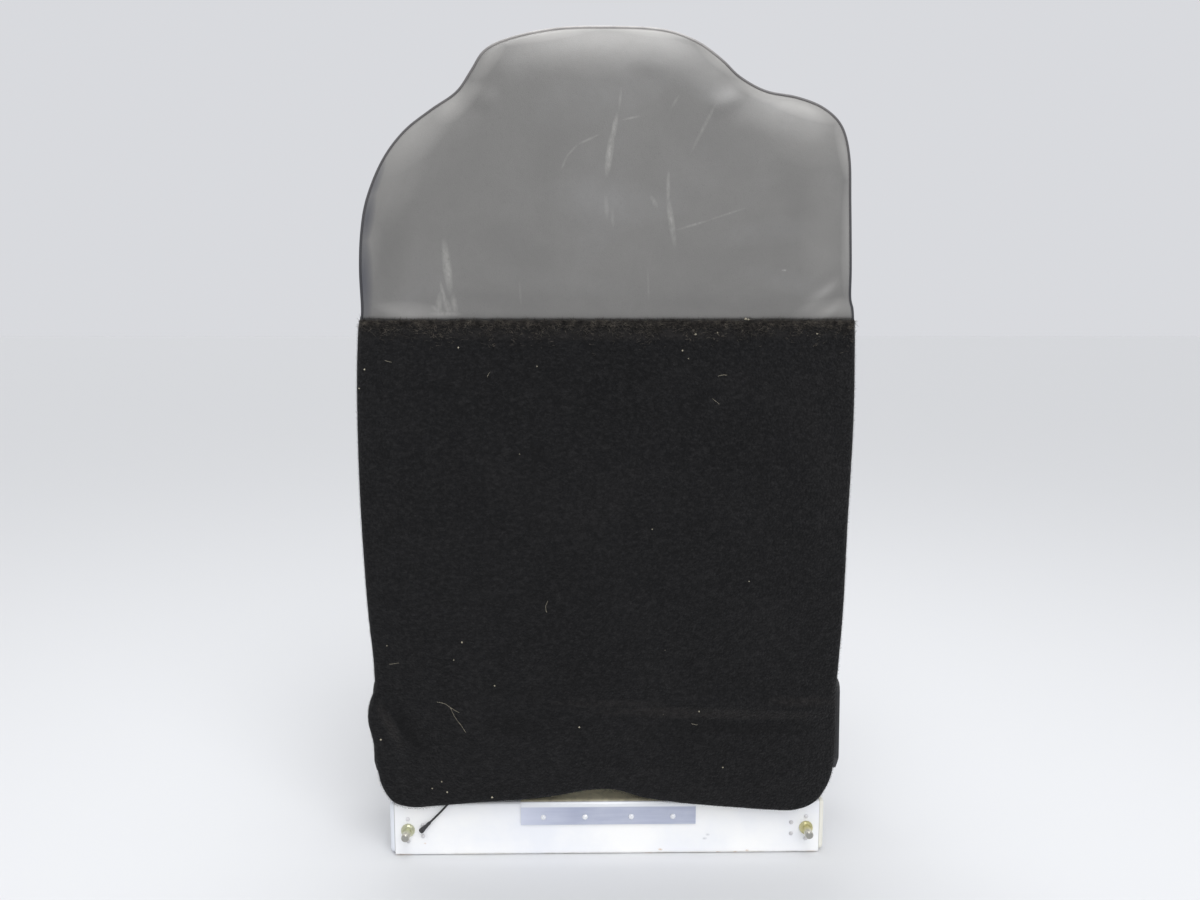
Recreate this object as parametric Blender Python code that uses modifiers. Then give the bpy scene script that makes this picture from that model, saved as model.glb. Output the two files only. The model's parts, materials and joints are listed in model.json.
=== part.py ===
"""Aircraft passenger seat: a fold-forward back on a shallow riveted sheet metal base.

Frame: +X to the right and +Y forward for someone who looks at the seat from behind, +Z up.
Lengths are written in millimetres and turned into metres by MM.
The base is measured from its rear face (y = 0 there) and from the floor (z = 0).
The back is measured in the plane of its rear surface, which leans back by RECLINE.
"""

from math import cos, pi, radians, sin

import bmesh
import bpy
from mathutils import Euler, Matrix, Vector

MM = 0.001

# Gap between pieces that touch, and radial clearance of a fastener in its hole
GAP = 0.3 * MM
HOLE_CLEARANCE = 0.35 * MM

# Base box
REAR_FACE_Y = -215.5 * MM
BASE_WIDTH = 425 * MM
BASE_HEIGHT = 54 * MM
BASE_DEPTH = 440 * MM
SHEET = 1.6 * MM
PANEL_BEND = 2.5 * MM
PANEL_FLANGE = 20 * MM
PANEL_END_MARGIN = 5.5 * MM
SIDE_FLANGE = 36 * MM
SIDE_BEND = 4.5 * MM
SIDE_LIFT = 1.5 * MM
LIGHTENING_RADIUS = 14 * MM
LIGHTENING_COUNT = 4
PAN_SHEET = 1.2 * MM
PAN_REAR_Y = 30 * MM
PAN_HOLE_RADIUS = 32 * MM
HAT_DEPTH = 21 * MM
HAT_WIDTH = 24 * MM
HAT_FLANGE = 12 * MM
HAT_REAR_Y = 135 * MM
HAT_FRONT_MARGIN = 65 * MM

# Striker angle on the rear web
ANGLE_LENGTH = 170 * MM
ANGLE_CENTRE_X = 0.8 * MM
ANGLE_DROP = 22 * MM
ANGLE_REACH = 26 * MM
ANGLE_RIVET_PLACES_X = (-62.5 * MM, -22 * MM, 23 * MM, 63.5 * MM)
ANGLE_RIVET_Z = 40 * MM

# Locating pins
PIN_SIDE_MARGIN = 18.3 * MM
PIN_Z = 26.6 * MM
PIN_RADIUS = 3.97 * MM
PIN_REACH = 17 * MM
PIN_BOSS_RADIUS = 6.75 * MM
PIN_BOSS_HEIGHT = 3.4 * MM
PIN_TAIL = 8 * MM
PIN_NUT_THICKNESS = 6 * MM
PIN_RIVET_OFFSETS = ((0, 11.3 * MM), (0, -11.5 * MM), (-14.5 * MM, 5.2 * MM), (-14.5 * MM, -6.3 * MM))
DOUBLER_SHEET = 2 * MM
DOUBLER_WIDTH = 30 * MM
DOUBLER_HEIGHT = 36 * MM

# Rivets and bolts
RIVET_SHANK = 1.6 * MM
RIVET_HEAD = 2.9 * MM
RIVET_RISE = 1.3 * MM
SMALL_RIVET_SHANK = 1.2 * MM
SMALL_RIVET_HEAD = 2.2 * MM
SMALL_RIVET_RISE = 0.9 * MM
BOLT_RADIUS = 3 * MM
BOLT_HEAD_RADIUS = 5.6 * MM
BOLT_HEAD_HEIGHT = 4 * MM

# Pivot of the back
PIVOT_Y = 70 * MM
PIVOT_Z = 150 * MM
PIVOT_BOLT_RADIUS = 5 * MM
PIVOT_HEAD_RADIUS = 8 * MM
PIVOT_HEAD_HEIGHT = 4 * MM
BUSH_WALL = 2 * MM
BUSH_FLANGE = 3.5 * MM
BUSH_FLANGE_THICKNESS = 1.2 * MM
BUSH_PLAY = 0.2 * MM
BRACKET_SHEET = 3 * MM
BRACKET_SIDE_MARGIN = 12.5 * MM
BRACKET_FOOT = 26 * MM
BRACKET_BEND = 3 * MM
BRACKET_EYE = 15 * MM
BRACKET_REAR_Y = 48 * MM
BRACKET_FRONT_Y = 112 * MM
BRACKET_BOLT_INSET = 12 * MM
BRACKET_BOLT_PLACES_Y = (58 * MM, 80 * MM, 102 * MM)
STOP_PIN_Y = 66 * MM
STOP_PIN_Z = 112 * MM
STOP_PIN_RADIUS = 5 * MM
STOP_PIN_SHANK = 3 * MM
ARM_SHEET = 3.5 * MM
ARM_SLOT_LOW = (-30 * MM, 160 * MM)
ARM_SLOT_HIGH = (68 * MM, 266 * MM)
ARM_HOLE_PLACE = (15 * MM, 150 * MM)
ARM_HOLE_RADIUS = 6 * MM

# Seat cushion and its board
CUSHION_REAR_Y = 120 * MM
CUSHION_NECK_Y = 62 * MM
CUSHION_NECK_PLAY = 6 * MM
CUSHION_OVERHANG = 35 * MM
CUSHION_WIDTH = 440 * MM
CUSHION_REAR_TOP = 122 * MM
CUSHION_FRONT_TOP = 140 * MM
CUSHION_EDGE = 16 * MM
BOARD_THICKNESS = 6 * MM
BOARD_MARGIN = 20 * MM
BOARD_FRONT_MARGIN = 8 * MM

# Back: lean, layers from the rear surface forward, and heights along the rear surface
RECLINE = radians(3)
PANEL_FOOT_Y = -4.1 * MM
COVER_THICKNESS = 4.5 * MM
COVER_EDGE = 2.2 * MM
BACK_SHEET = 1.5 * MM
BACK_SHEET_INSET = 14 * MM
BACK_BOTTOM = 172 * MM
TONGUE_BOTTOM = 148 * MM
TONGUE_PLAY = 26 * MM
BOTTOM_RISE = 150 * MM
CROWN_HEIGHT = 470 * MM
SEAM_HEIGHT = 519.5 * MM
FRAME_TUBE_RADIUS = 11 * MM
TUBE_WALL_PLAY = 0.6 * MM
CROSS_TUBE_RADIUS = 8 * MM
CROSS_TUBE_HEIGHTS = (214 * MM, 380 * MM, 545 * MM)
FRAME_SHOULDER = 560 * MM
FRAME_TOP = 700 * MM
FLAP_THICKNESS = 4.5 * MM

# Tail of the back with its latch
TAIL_TUBE_Y = 33 * MM
TAIL_TUBE_Z = 92 * MM
TAIL_TUBE_RADIUS = 7 * MM
LATCH_X = -66 * MM
LATCH_Y = 13 * MM
LATCH_BOLT_RADIUS = 4 * MM
LATCH_STEM_RADIUS = 2 * MM
LATCH_COLLAR_RADIUS = 6 * MM
LATCH_COLLAR_THICKNESS = 3 * MM
LATCH_BORE_PLAY = 0.4 * MM
LATCH_NOSE_LIFT = 0.6 * MM
LATCH_FLOOR = 12 * MM
LATCH_TRAVEL = 7 * MM
HOUSING_WIDTH = 22 * MM
HOUSING_REAR_Y = 3 * MM
HOUSING_BOTTOM_Z = 58 * MM
HOUSING_TOP_Z = 101 * MM
LATCH_CAP_THICKNESS = 3 * MM
SPRING_WIRE = 0.7 * MM
SPRING_TURNS = 5
CONDUIT_RADIUS = 2.5 * MM
CLIP_X = -108 * MM
CLIP_WIDTH = 6 * MM
CORD_RADIUS = 1 * MM
PULL_LENGTH = 13 * MM
PULL_RADIUS = 2.75 * MM
PULL_NECK = 1.7 * MM

# Side covers over the hinges
COVER_DEPTH = 22 * MM
COVER_WALL = 2 * MM

# Front hold-down
HOOK_FRONT_MARGIN = 28 * MM
HOOK_Z = 28 * MM
HOOK_THICKNESS = 6 * MM
HOOK_PIN_RADIUS = 3 * MM
HOOK_CHEEK_X = 15 * MM
HOOK_BRACKET_LENGTH = 38 * MM
HOOK_BRACKET_LOW = 14 * MM
HOOK_BRACKET_HIGH = 48 * MM
LEVER_SLOT_WIDTH = 11 * MM
LEVER_SLOT_LOW = 21 * MM
LEVER_SLOT_HIGH = 50 * MM
GRIP_LENGTH = 20 * MM
GRIP_WIDTH = 14 * MM
GRIP_HEIGHT = 12 * MM

# Silhouette of the back from behind, up the left side, over the headrest and down the right side
BACK_OUTLINE = [
    (-220, 172), (-220.5, 205), (-224, 262), (-226.2, 357), (-225, 448), (-221.5, 508),
    (-218.2, 526), (-218.4, 562), (-216, 594), (-210, 622.5), (-195.5, 654.5), (-176, 679),
    (-152, 697), (-130, 711.5), (-117, 729), (-105, 745.5), (-82, 755.5), (-44, 762.8),
    (0, 764.3), (44, 762.3), (73, 753.5), (95, 739), (111.5, 724.5), (134, 713),
    (161, 708), (184, 699.5), (200.5, 684.5), (208.3, 659), (211, 620), (214, 565),
    (214.8, 538), (218.4, 518), (221.5, 430), (220.6, 330), (220.3, 250), (217.3, 172),
]

# Outline of the carpet flap below the back, from its top left corner round the bottom
FLAP_OUTLINE = [
    (-221, 171.5), (-226, 158), (-227, 143), (-223.5, 122), (-220.5, 98), (-216.5, 79),
    (-206, 62), (-187, 56), (-160, 58.5), (-132, 61.5), (-103, 63.5), (-75, 65),
    (-46, 69), (-22, 73.2), (-4, 74), (10, 72), (34, 64.5), (64, 60.5),
    (98, 57.3), (127, 54.6), (156, 52.5), (182, 52.8), (200, 60.5), (211, 76),
    (217, 96), (218.3, 125), (217.8, 150), (217.3, 171.5),
]

# Thickness of the upholstered back against height
BACK_SECTION = [(172, 96), (260, 106), (400, 96), (540, 80), (620, 78), (690, 84), (764, 66)]

# Edge of an arm plate, as (y, z) from the rear face and the floor
ARM_OUTLINE = [
    (-10, 262), (-4.5, 172), (21, 104), (21, 81), (45, 81), (60.7, 98), (60.7, 124),
    (84, 134), (88, 152), (80, 167), (44, 178), (17, 206), (12, 262),
]

# Edge of a pivot bracket, as (y, z), below its round eye
BRACKET_OUTLINE = [(48, 50), (112, 50), (112, 70), (84.5, 142), (56, 142), (48, 70)]

# Edge of a hinge side cover, as (y, z)
HINGE_COVER_OUTLINE = [(16, 168), (12, 92), (24, 75), (84, 75), (104, 96), (108, 150), (98, 168)]

# Edge of the hold-down hook with its lever, as (y, z) from its pin
HOOK_OUTLINE = [
    (-8, 6), (3, 8.5), (13, 4), (56, 4), (58, 0.5), (56, -3), (13, -3), (8, -8),
    (7, -20), (3, -24.5), (-15, -24.5), (-17, -21), (-15, -17.5), (-5, -17), (-4, -9), (-8.5, -4),
]

# Routes, as (x, y, z) from the middle of the rear face at the floor
CONDUIT_ROUTE = [
    (-66, 13, 104.6), (-67, 13.5, 112), (-73, 15, 117), (-82, 17, 113), (-92, 18.5, 104),
    (-100, 19, 100), (-108, 19, 99), (-116, 19, 98.5), (-125, 17.5, 95), (-132, 15, 88.5),
]
CORD_ROUTE = [
    (-132.2, 14.9, 88.2), (-136, 12.6, 83), (-140.5, 8, 76), (-145, 3, 69), (-149.5, -1, 62),
    (-154, -3.1, 55.5), (-159.5, -3.7, 49.3), (-166, -3.6, 42.5), (-172, -3.5, 36.4),
]
PULL_DIRECTION = (-1, 0, -1)

# Derived sizes
HALF_BASE = BASE_WIDTH / 2
PANEL_HALF_WIDTH = HALF_BASE - PANEL_END_MARGIN
FLANGE_HALF_WIDTH = HALF_BASE - SIDE_FLANGE - 2 * GAP
HAT_FRONT_Y = BASE_DEPTH - HAT_FRONT_MARGIN
HAT_PLACES_Y = (HAT_REAR_Y, (HAT_REAR_Y + HAT_FRONT_Y) / 2, HAT_FRONT_Y)
PIN_X = HALF_BASE - PIN_SIDE_MARGIN
BRACKET_X = HALF_BASE - BRACKET_SIDE_MARGIN
BRACKET_BOLT_X = BRACKET_X - BRACKET_BOLT_INSET
TONGUE_HALF_WIDTH = BRACKET_X - TONGUE_PLAY
CUSHION_NECK_HALF = BRACKET_X - BRACKET_SHEET - BRACKET_FOOT - CUSHION_NECK_PLAY
CUSHION_FRONT_Y = BASE_DEPTH + CUSHION_OVERHANG
BOARD_FRONT_Y = BASE_DEPTH - BOARD_FRONT_MARGIN
HOOK_Y = BASE_DEPTH - HOOK_FRONT_MARGIN
SIDE_REAR_Y = SHEET + GAP
SIDE_FRONT_Y = BASE_DEPTH - SHEET - GAP
PAN_BOTTOM_Z = BASE_HEIGHT + GAP
PAN_TOP_Z = PAN_BOTTOM_Z + PAN_SHEET
PAN_FRONT_Y = BASE_DEPTH - 4 * MM
PAN_HALF_WIDTH = HALF_BASE - SIDE_BEND - 1 * MM
ANGLE_TOP_Z = BASE_HEIGHT + GAP + SHEET
ANGLE_BEND = PANEL_BEND + SHEET + GAP
DOUBLER_Y = SIDE_REAR_Y + SHEET + GAP
DOUBLER_FRONT_Y = DOUBLER_Y + DOUBLER_SHEET
BRACKET_FOOT_Z = PAN_TOP_Z + GAP
ARM_INNER_X = BRACKET_X + 2 * GAP + BUSH_FLANGE_THICKNESS
ARM_OUTER_X = ARM_INNER_X + ARM_SHEET
BUSH_OUTER_RADIUS = PIVOT_BOLT_RADIUS + BUSH_PLAY + BUSH_WALL
BOARD_BOTTOM_Z = PAN_TOP_Z + GAP
CUSHION_BOTTOM_Z = BOARD_BOTTOM_Z + BOARD_THICKNESS + GAP
BACK_SHEET_DEPTH = COVER_THICKNESS + GAP
FOAM_DEPTH = BACK_SHEET_DEPTH + BACK_SHEET + GAP
FRAME_DEPTH = FOAM_DEPTH + GAP + FRAME_TUBE_RADIUS
FRAME_HALF_WIDTH = ARM_INNER_X - GAP - FRAME_TUBE_RADIUS
LATCH_NOSE_Z = ANGLE_TOP_Z + LATCH_NOSE_LIFT
LATCH_BORE_RADIUS = LATCH_BOLT_RADIUS + LATCH_BORE_PLAY
SPRING_CHAMBER_RADIUS = LATCH_COLLAR_RADIUS + LATCH_BORE_PLAY
COLLAR_BOTTOM_Z = HOUSING_BOTTOM_Z + LATCH_FLOOR + LATCH_TRAVEL + GAP
COLLAR_TOP_Z = COLLAR_BOTTOM_Z + LATCH_COLLAR_THICKNESS
HOUSING_FRONT_Y = TAIL_TUBE_Y - TAIL_TUBE_RADIUS - GAP
COVER_RIM_X = ARM_OUTER_X + GAP
COVER_OUTER_X = COVER_RIM_X + COVER_DEPTH

DRAWING_ANGLES = {
    "XY": (0, 0, 0),
    "XZ": (pi / 2, 0, 0),
    "YZ": (pi / 2, 0, pi / 2),
}
TURNED_ANGLES = {
    "+X": (0, pi / 2, 0),
    "-X": (0, -pi / 2, 0),
    "-Y": (pi / 2, 0, 0),
    "+Z": (0, 0, 0),
}


# Scene and collections


def clear_scene():
    for item in list(bpy.data.objects):
        bpy.data.objects.remove(item, do_unlink=True)


def new_collection(name):
    collection = bpy.data.collections.new(name)
    bpy.context.scene.collection.children.link(collection)
    return collection


def linear(value):
    """One sRGB channel from 0 to 255 as a linear value."""
    share = value / 255
    if share <= 0.04045:
        return share / 12.92
    return ((share + 0.055) / 1.055) ** 2.4


def new_material(name, colour, metallic, roughness):
    material = bpy.data.materials.new(name)
    material.use_nodes = True
    shader = material.node_tree.nodes["Principled BSDF"]
    shader.inputs["Base Color"].default_value = (*[linear(c) for c in colour], 1)
    shader.inputs["Metallic"].default_value = metallic
    shader.inputs["Roughness"].default_value = roughness
    return material


def add_object(name, data, parent, material=None, location=(0, 0, 0), rotation=(0, 0, 0), cutter=False):
    item = bpy.data.objects.new(name, data)
    item.location = location
    item.rotation_euler = rotation
    item.parent = parent
    if cutter:
        item.hide_render = True
        item.display_type = "WIRE"
        CUTTERS.objects.link(item)
    else:
        PARTS.objects.link(item)
    if material is not None:
        data.materials.append(material)
    return item


def add_empty(name, parent, location=(0, 0, 0), rotation=(0, 0, 0)):
    item = bpy.data.objects.new(name, None)
    item.empty_display_size = 20 * MM
    item.location = location
    item.rotation_euler = rotation
    item.parent = parent
    PARTS.objects.link(item)
    return item


# Outlines and routes


def in_mm(points):
    return [tuple(value * MM for value in point) for point in points]


def circle(centre, radius, sides=12):
    steps = [2 * pi * i / sides for i in range(sides)]
    return [(centre[0] + radius * cos(a), centre[1] + radius * sin(a)) for a in steps]


def smooth(points, steps):
    """A Catmull-Rom curve through the points, with that many steps for each span."""
    fixed = [Vector(p) for p in points]
    ends = [2 * fixed[0] - fixed[1], *fixed, 2 * fixed[-1] - fixed[-2]]
    found = []
    for a, b, c, d in zip(ends, ends[1:], ends[2:], ends[3:]):
        for i in range(steps):
            t = i / steps
            found.append(
                0.5 * (2 * b + (c - a) * t + (2 * a - 5 * b + 4 * c - d) * t * t
                       + (3 * b - a - 3 * c + d) * t * t * t)
            )
    found.append(fixed[-1])
    return [tuple(p) for p in found]


def rounded(points, radius, steps=3, closed=True):
    """The polygon with each corner turned into an arc, smaller where its edges are short."""
    count = len(points)
    found = []
    for i, point in enumerate(points):
        if not closed and i in (0, count - 1):
            found.append(tuple(point))
            continue
        corner = Vector(point)
        before = Vector(points[i - 1]) - corner
        after = Vector(points[(i + 1) % count]) - corner
        half = before.angle(after) / 2
        reach = min(radius / max(abs(sin(half)), 1e-6) * cos(half), 0.45 * before.length, 0.45 * after.length)
        start = corner + before.normalized() * reach
        end = corner + after.normalized() * reach
        for step in range(steps + 1):
            t = step / steps
            found.append(tuple((1 - t) ** 2 * start + 2 * t * (1 - t) * corner + t * t * end))
    return found


def at_height(a, b, height):
    share = (height - a[1]) / (b[1] - a[1])
    return (a[0] + share * (b[0] - a[0]), height)


def outline_between(outline, low, high):
    """The part of an outline between two heights, cut straight across at both."""
    found = []
    for a, b in zip(outline, outline[1:]):
        if low <= a[1] <= high:
            found.append(a)
        for height in (low, high):
            if min(a[1], b[1]) < height < max(a[1], b[1]):
                found.append(at_height(a, b, height))
    if low <= outline[-1][1] <= high:
        found.append(outline[-1])
    return found


def inset(outline, distance):
    """A closed outline moved inward by a distance, corner by corner."""
    count = len(outline)
    area = sum(
        outline[i - 1][0] * outline[i][1] - outline[i][0] * outline[i - 1][1] for i in range(count)
    )
    turn = 1 if area > 0 else -1
    found = []
    for i, point in enumerate(outline):
        along = Vector(outline[(i + 1) % count]) - Vector(outline[i - 1])
        inward = turn * Vector((-along.y, along.x)).normalized()
        found.append(tuple(Vector(point) + distance * inward))
    return found


def between(table, value):
    """A value read from a table of (place, value) by straight lines."""
    for (a, low), (b, high) in zip(table, table[1:]):
        if value <= b:
            share = max(0.0, (value - a) / (b - a))
            return low + share * (high - low)
    return table[-1][1]


# Solids


def plate(name, parent, material, plane, outline, low, high, holes=(), cutter=False):
    """A flat outline in a plane, filled from one place to another across that plane."""
    curve = bpy.data.curves.new(name, "CURVE")
    curve.dimensions = "2D"
    curve.fill_mode = "BOTH"
    curve.extrude = (high - low) / 2
    for ring in (outline, *holes):
        spline = curve.splines.new("POLY")
        spline.points.add(len(ring) - 1)
        for point, (u, v) in zip(spline.points, ring):
            point.co = (u, v, 0, 1)
        spline.use_cyclic_u = True
    middle = (low + high) / 2
    location = {"XY": (0, 0, middle), "XZ": (0, middle, 0), "YZ": (middle, 0, 0)}[plane]
    return add_object(name, curve, parent, material, location, DRAWING_ANGLES[plane], cutter)


def as_mesh(item):
    """A curve object made into a mesh object of the same name and place, with its caps welded."""
    bpy.context.view_layer.update()
    graph = bpy.context.evaluated_depsgraph_get()
    mesh = bpy.data.meshes.new_from_object(item.evaluated_get(graph))
    bm = bmesh.new()
    bm.from_mesh(mesh)
    bmesh.ops.remove_doubles(bm, verts=bm.verts, dist=1e-6)
    bmesh.ops.recalc_face_normals(bm, faces=bm.faces)
    bm.to_mesh(mesh)
    bm.free()
    name = item.name
    parent = item.parent
    location = tuple(item.location)
    rotation = tuple(item.rotation_euler)
    cutter = item.hide_render
    bpy.data.objects.remove(item, do_unlink=True)
    return add_object(name, mesh, parent, None, location, rotation, cutter)


def tube(name, parent, material, points, radius, sides_level=2, cutter=False):
    """A round bar along a route."""
    curve = bpy.data.curves.new(name, "CURVE")
    curve.dimensions = "3D"
    curve.bevel_depth = radius
    curve.bevel_resolution = sides_level
    curve.use_fill_caps = True
    spline = curve.splines.new("POLY")
    spline.points.add(len(points) - 1)
    for point, place in zip(spline.points, points):
        point.co = (*place, 1)
    return add_object(name, curve, parent, material, cutter=cutter)


def box(name, parent, material, low, high, cutter=False):
    """A box between two corners."""
    bm = bmesh.new()
    size = [b - a for a, b in zip(low, high)]
    middle = [(a + b) / 2 for a, b in zip(low, high)]
    bmesh.ops.create_cube(bm, size=1, matrix=Matrix.Diagonal((*size, 1)))
    mesh = bpy.data.meshes.new(name)
    bm.to_mesh(mesh)
    bm.free()
    return add_object(name, mesh, parent, material, middle, cutter=cutter)


def turned(name, parent, material, profile, location, axis, steps=16):
    """A turned piece: (radius, place along the axis) from its far end down to its near end."""
    mesh = bpy.data.meshes.new(name)
    points = [(radius, 0, along) for radius, along in profile]
    mesh.from_pydata(points, [(i, i + 1) for i in range(len(points) - 1)], [])
    item = add_object(name, mesh, parent, material, location, TURNED_ANGLES[axis])
    screw = item.modifiers.new("turn", "SCREW")
    screw.steps = steps
    screw.render_steps = steps
    screw.use_merge_vertices = True
    screw.merge_threshold = 1e-5
    screw.use_smooth_shade = False
    return item


def ring_points(along, radius, sides, hexagon):
    """One ring across an axis. A hexagon's corners lie at the radius and its flats between them."""
    found = []
    for i in range(sides):
        angle = 2 * pi * i / sides
        reach = radius
        if hexagon and (i * 6 // sides) * sides != i * 6:
            reach = radius * cos(pi / 6)
        found.append((reach * cos(angle), reach * sin(angle), along))
    return found


def ring_mesh(name, rings, places, axis, sides, bored=False):
    """Lofts of rings (place along the axis, radius, hexagon or not), one loft at each place.

    The rings run from the far end to the near end. A bored loft closes on its first ring.
    """
    bm = bmesh.new()
    turn = Euler(TURNED_ANGLES[axis]).to_matrix()
    for place in places:
        loops = []
        for along, radius, hexagon in rings:
            loops.append([
                bm.verts.new(Vector(place) + turn @ Vector(p))
                for p in ring_points(along, radius, sides, hexagon)
            ])
        pairs = list(zip(loops, loops[1:]))
        if bored:
            pairs.append((loops[-1], loops[0]))
        else:
            bm.faces.new(loops[0])
            bm.faces.new(list(reversed(loops[-1])))
        for upper, lower in pairs:
            for i in range(sides):
                j = (i + 1) % sides
                bm.faces.new((upper[j], upper[i], lower[i], lower[j]))
    mesh = bpy.data.meshes.new(name)
    bm.to_mesh(mesh)
    bm.free()
    return mesh


def fasteners(name, parent, material, rings, places, axis, sides=12, bored=False):
    """Identical fasteners, one object for each place, that share one mesh."""
    mesh = ring_mesh(name, rings, [(0, 0, 0)], axis, sides, bored)
    mesh.materials.append(material)
    for number, place in enumerate(places, 1):
        copy_name = name if len(places) == 1 else f"{name}_{number}"
        add_object(copy_name, mesh, parent, location=place)


def formed_sheet(name, parent, material, plane, section, low, high, thickness):
    """A bent sheet: an open section in a plane, run from one place to another across it."""
    mesh = bpy.data.meshes.new(name)
    count = len(section)
    middle = (low + high) / 2
    half = (high - low) / 2
    points = [(u, v, -half) for u, v in section] + [(u, v, half) for u, v in section]
    faces = [(i, i + 1, count + i + 1, count + i) for i in range(count - 1)]
    mesh.from_pydata(points, [], faces)
    location = {"XY": (0, 0, middle), "XZ": (0, middle, 0), "YZ": (middle, 0, 0)}[plane]
    item = add_object(name, mesh, parent, material, location, DRAWING_ANGLES[plane])
    solid = item.modifiers.new("sheet", "SOLIDIFY")
    solid.thickness = thickness
    solid.offset = 0
    solid.use_even_offset = True
    return item


def round_cutters(name, parent, places, radius, reach, axis, sides=12):
    """Round bars for cutting holes, one at each place, running both ways along the axis."""
    rings = [(reach, radius, False), (-reach, radius, False)]
    return add_object(name, ring_mesh(name, rings, places, axis, sides), parent, cutter=True)


def boolean(item, cutter, operation="DIFFERENCE"):
    step = item.modifiers.new(cutter.name, "BOOLEAN")
    step.operation = operation
    step.solver = "EXACT"
    step.object = cutter
    return item


def soften(item, width, segments, weld=True):
    if weld:
        join = item.modifiers.new("weld", "WELD")
        join.merge_threshold = 1e-6
    bevel = item.modifiers.new("edge", "BEVEL")
    bevel.width = width
    bevel.segments = segments
    bevel.limit_method = "ANGLE"
    bevel.angle_limit = radians(50)
    return item


# Base


def end_panel_section(face_y, forward):
    """Section of the rear or front panel, as (y, z): a channel whose web lies on the face."""
    web = face_y + forward * SHEET / 2
    edge = face_y + forward * PANEL_FLANGE
    low = SHEET / 2
    high = BASE_HEIGHT - SHEET / 2
    return rounded([(edge, low), (web, low), (web, high), (edge, high)], PANEL_BEND, 3, closed=False)


def pin_places(offsets, y):
    return [
        (side * (PIN_X + dx), y, PIN_Z + dz)
        for side in (-1, 1)
        for dx, dz in offsets
    ]


def notch_cutters(name, face_y, forward):
    """Blocks that take the panel's flanges away where the side panels pass."""
    start = face_y + forward * (SHEET + 0.6 * GAP)
    end = face_y + forward * (PANEL_FLANGE + 5 * MM)
    found = []
    for side in (-1, 1):
        inner = side * FLANGE_HALF_WIDTH
        outer = side * (HALF_BASE + 5 * MM)
        low = (min(inner, outer), min(start, end), -5 * MM)
        high = (max(inner, outer), max(start, end), BASE_HEIGHT + 5 * MM)
        found.append(box(f"{name}_{side:+d}", BASE, None, low, high, cutter=True))
    return found


def build_rear_panel():
    section = end_panel_section(0, 1)
    item = formed_sheet("rear_panel", BASE, WHITE, "YZ", section, -PANEL_HALF_WIDTH, PANEL_HALF_WIDTH, SHEET)
    for cutter in notch_cutters("rear_notch", 0, 1):
        boolean(item, cutter)
    reach = 4 * MM
    boolean(item, round_cutters(
        "rear_pin_holes", BASE, pin_places([(0, 0)], 0), PIN_RADIUS + HOLE_CLEARANCE, reach, "-Y"))
    boolean(item, round_cutters(
        "rear_rivet_holes", BASE, pin_places(PIN_RIVET_OFFSETS, 0),
        SMALL_RIVET_SHANK + HOLE_CLEARANCE, reach, "-Y", 6))
    boolean(item, round_cutters(
        "rear_angle_holes", BASE, [(x, 0, ANGLE_RIVET_Z) for x in ANGLE_RIVET_PLACES_X],
        RIVET_SHANK + HOLE_CLEARANCE, reach, "-Y", 8))
    boolean(item, round_cutters(
        "rear_bolt_hole", BASE, [(LATCH_X, LATCH_Y, BASE_HEIGHT)], LATCH_BOLT_RADIUS + 1 * MM, reach, "+Z"))
    return item


def build_front_panel():
    section = end_panel_section(BASE_DEPTH, -1)
    item = formed_sheet("front_panel", BASE, WHITE, "YZ", section, -PANEL_HALF_WIDTH, PANEL_HALF_WIDTH, SHEET)
    for cutter in notch_cutters("front_notch", BASE_DEPTH, -1):
        boolean(item, cutter)
    places = [
        (side * HALF_BASE * share, BASE_DEPTH, BASE_HEIGHT / 2)
        for side in (-1, 1)
        for share in (0.25, 0.5, 0.75)
    ]
    boolean(item, round_cutters("front_holes", BASE, places, LIGHTENING_RADIUS, 4 * MM, "-Y"))
    boolean(item, lever_slot("front_slot", BASE_DEPTH))
    return item


def lever_slot(name, y):
    reach = 5 * MM
    low = (-LEVER_SLOT_WIDTH / 2, y - reach, LEVER_SLOT_LOW)
    high = (LEVER_SLOT_WIDTH / 2, y + reach, LEVER_SLOT_HIGH)
    return box(name, BASE, None, low, high, cutter=True)


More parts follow.
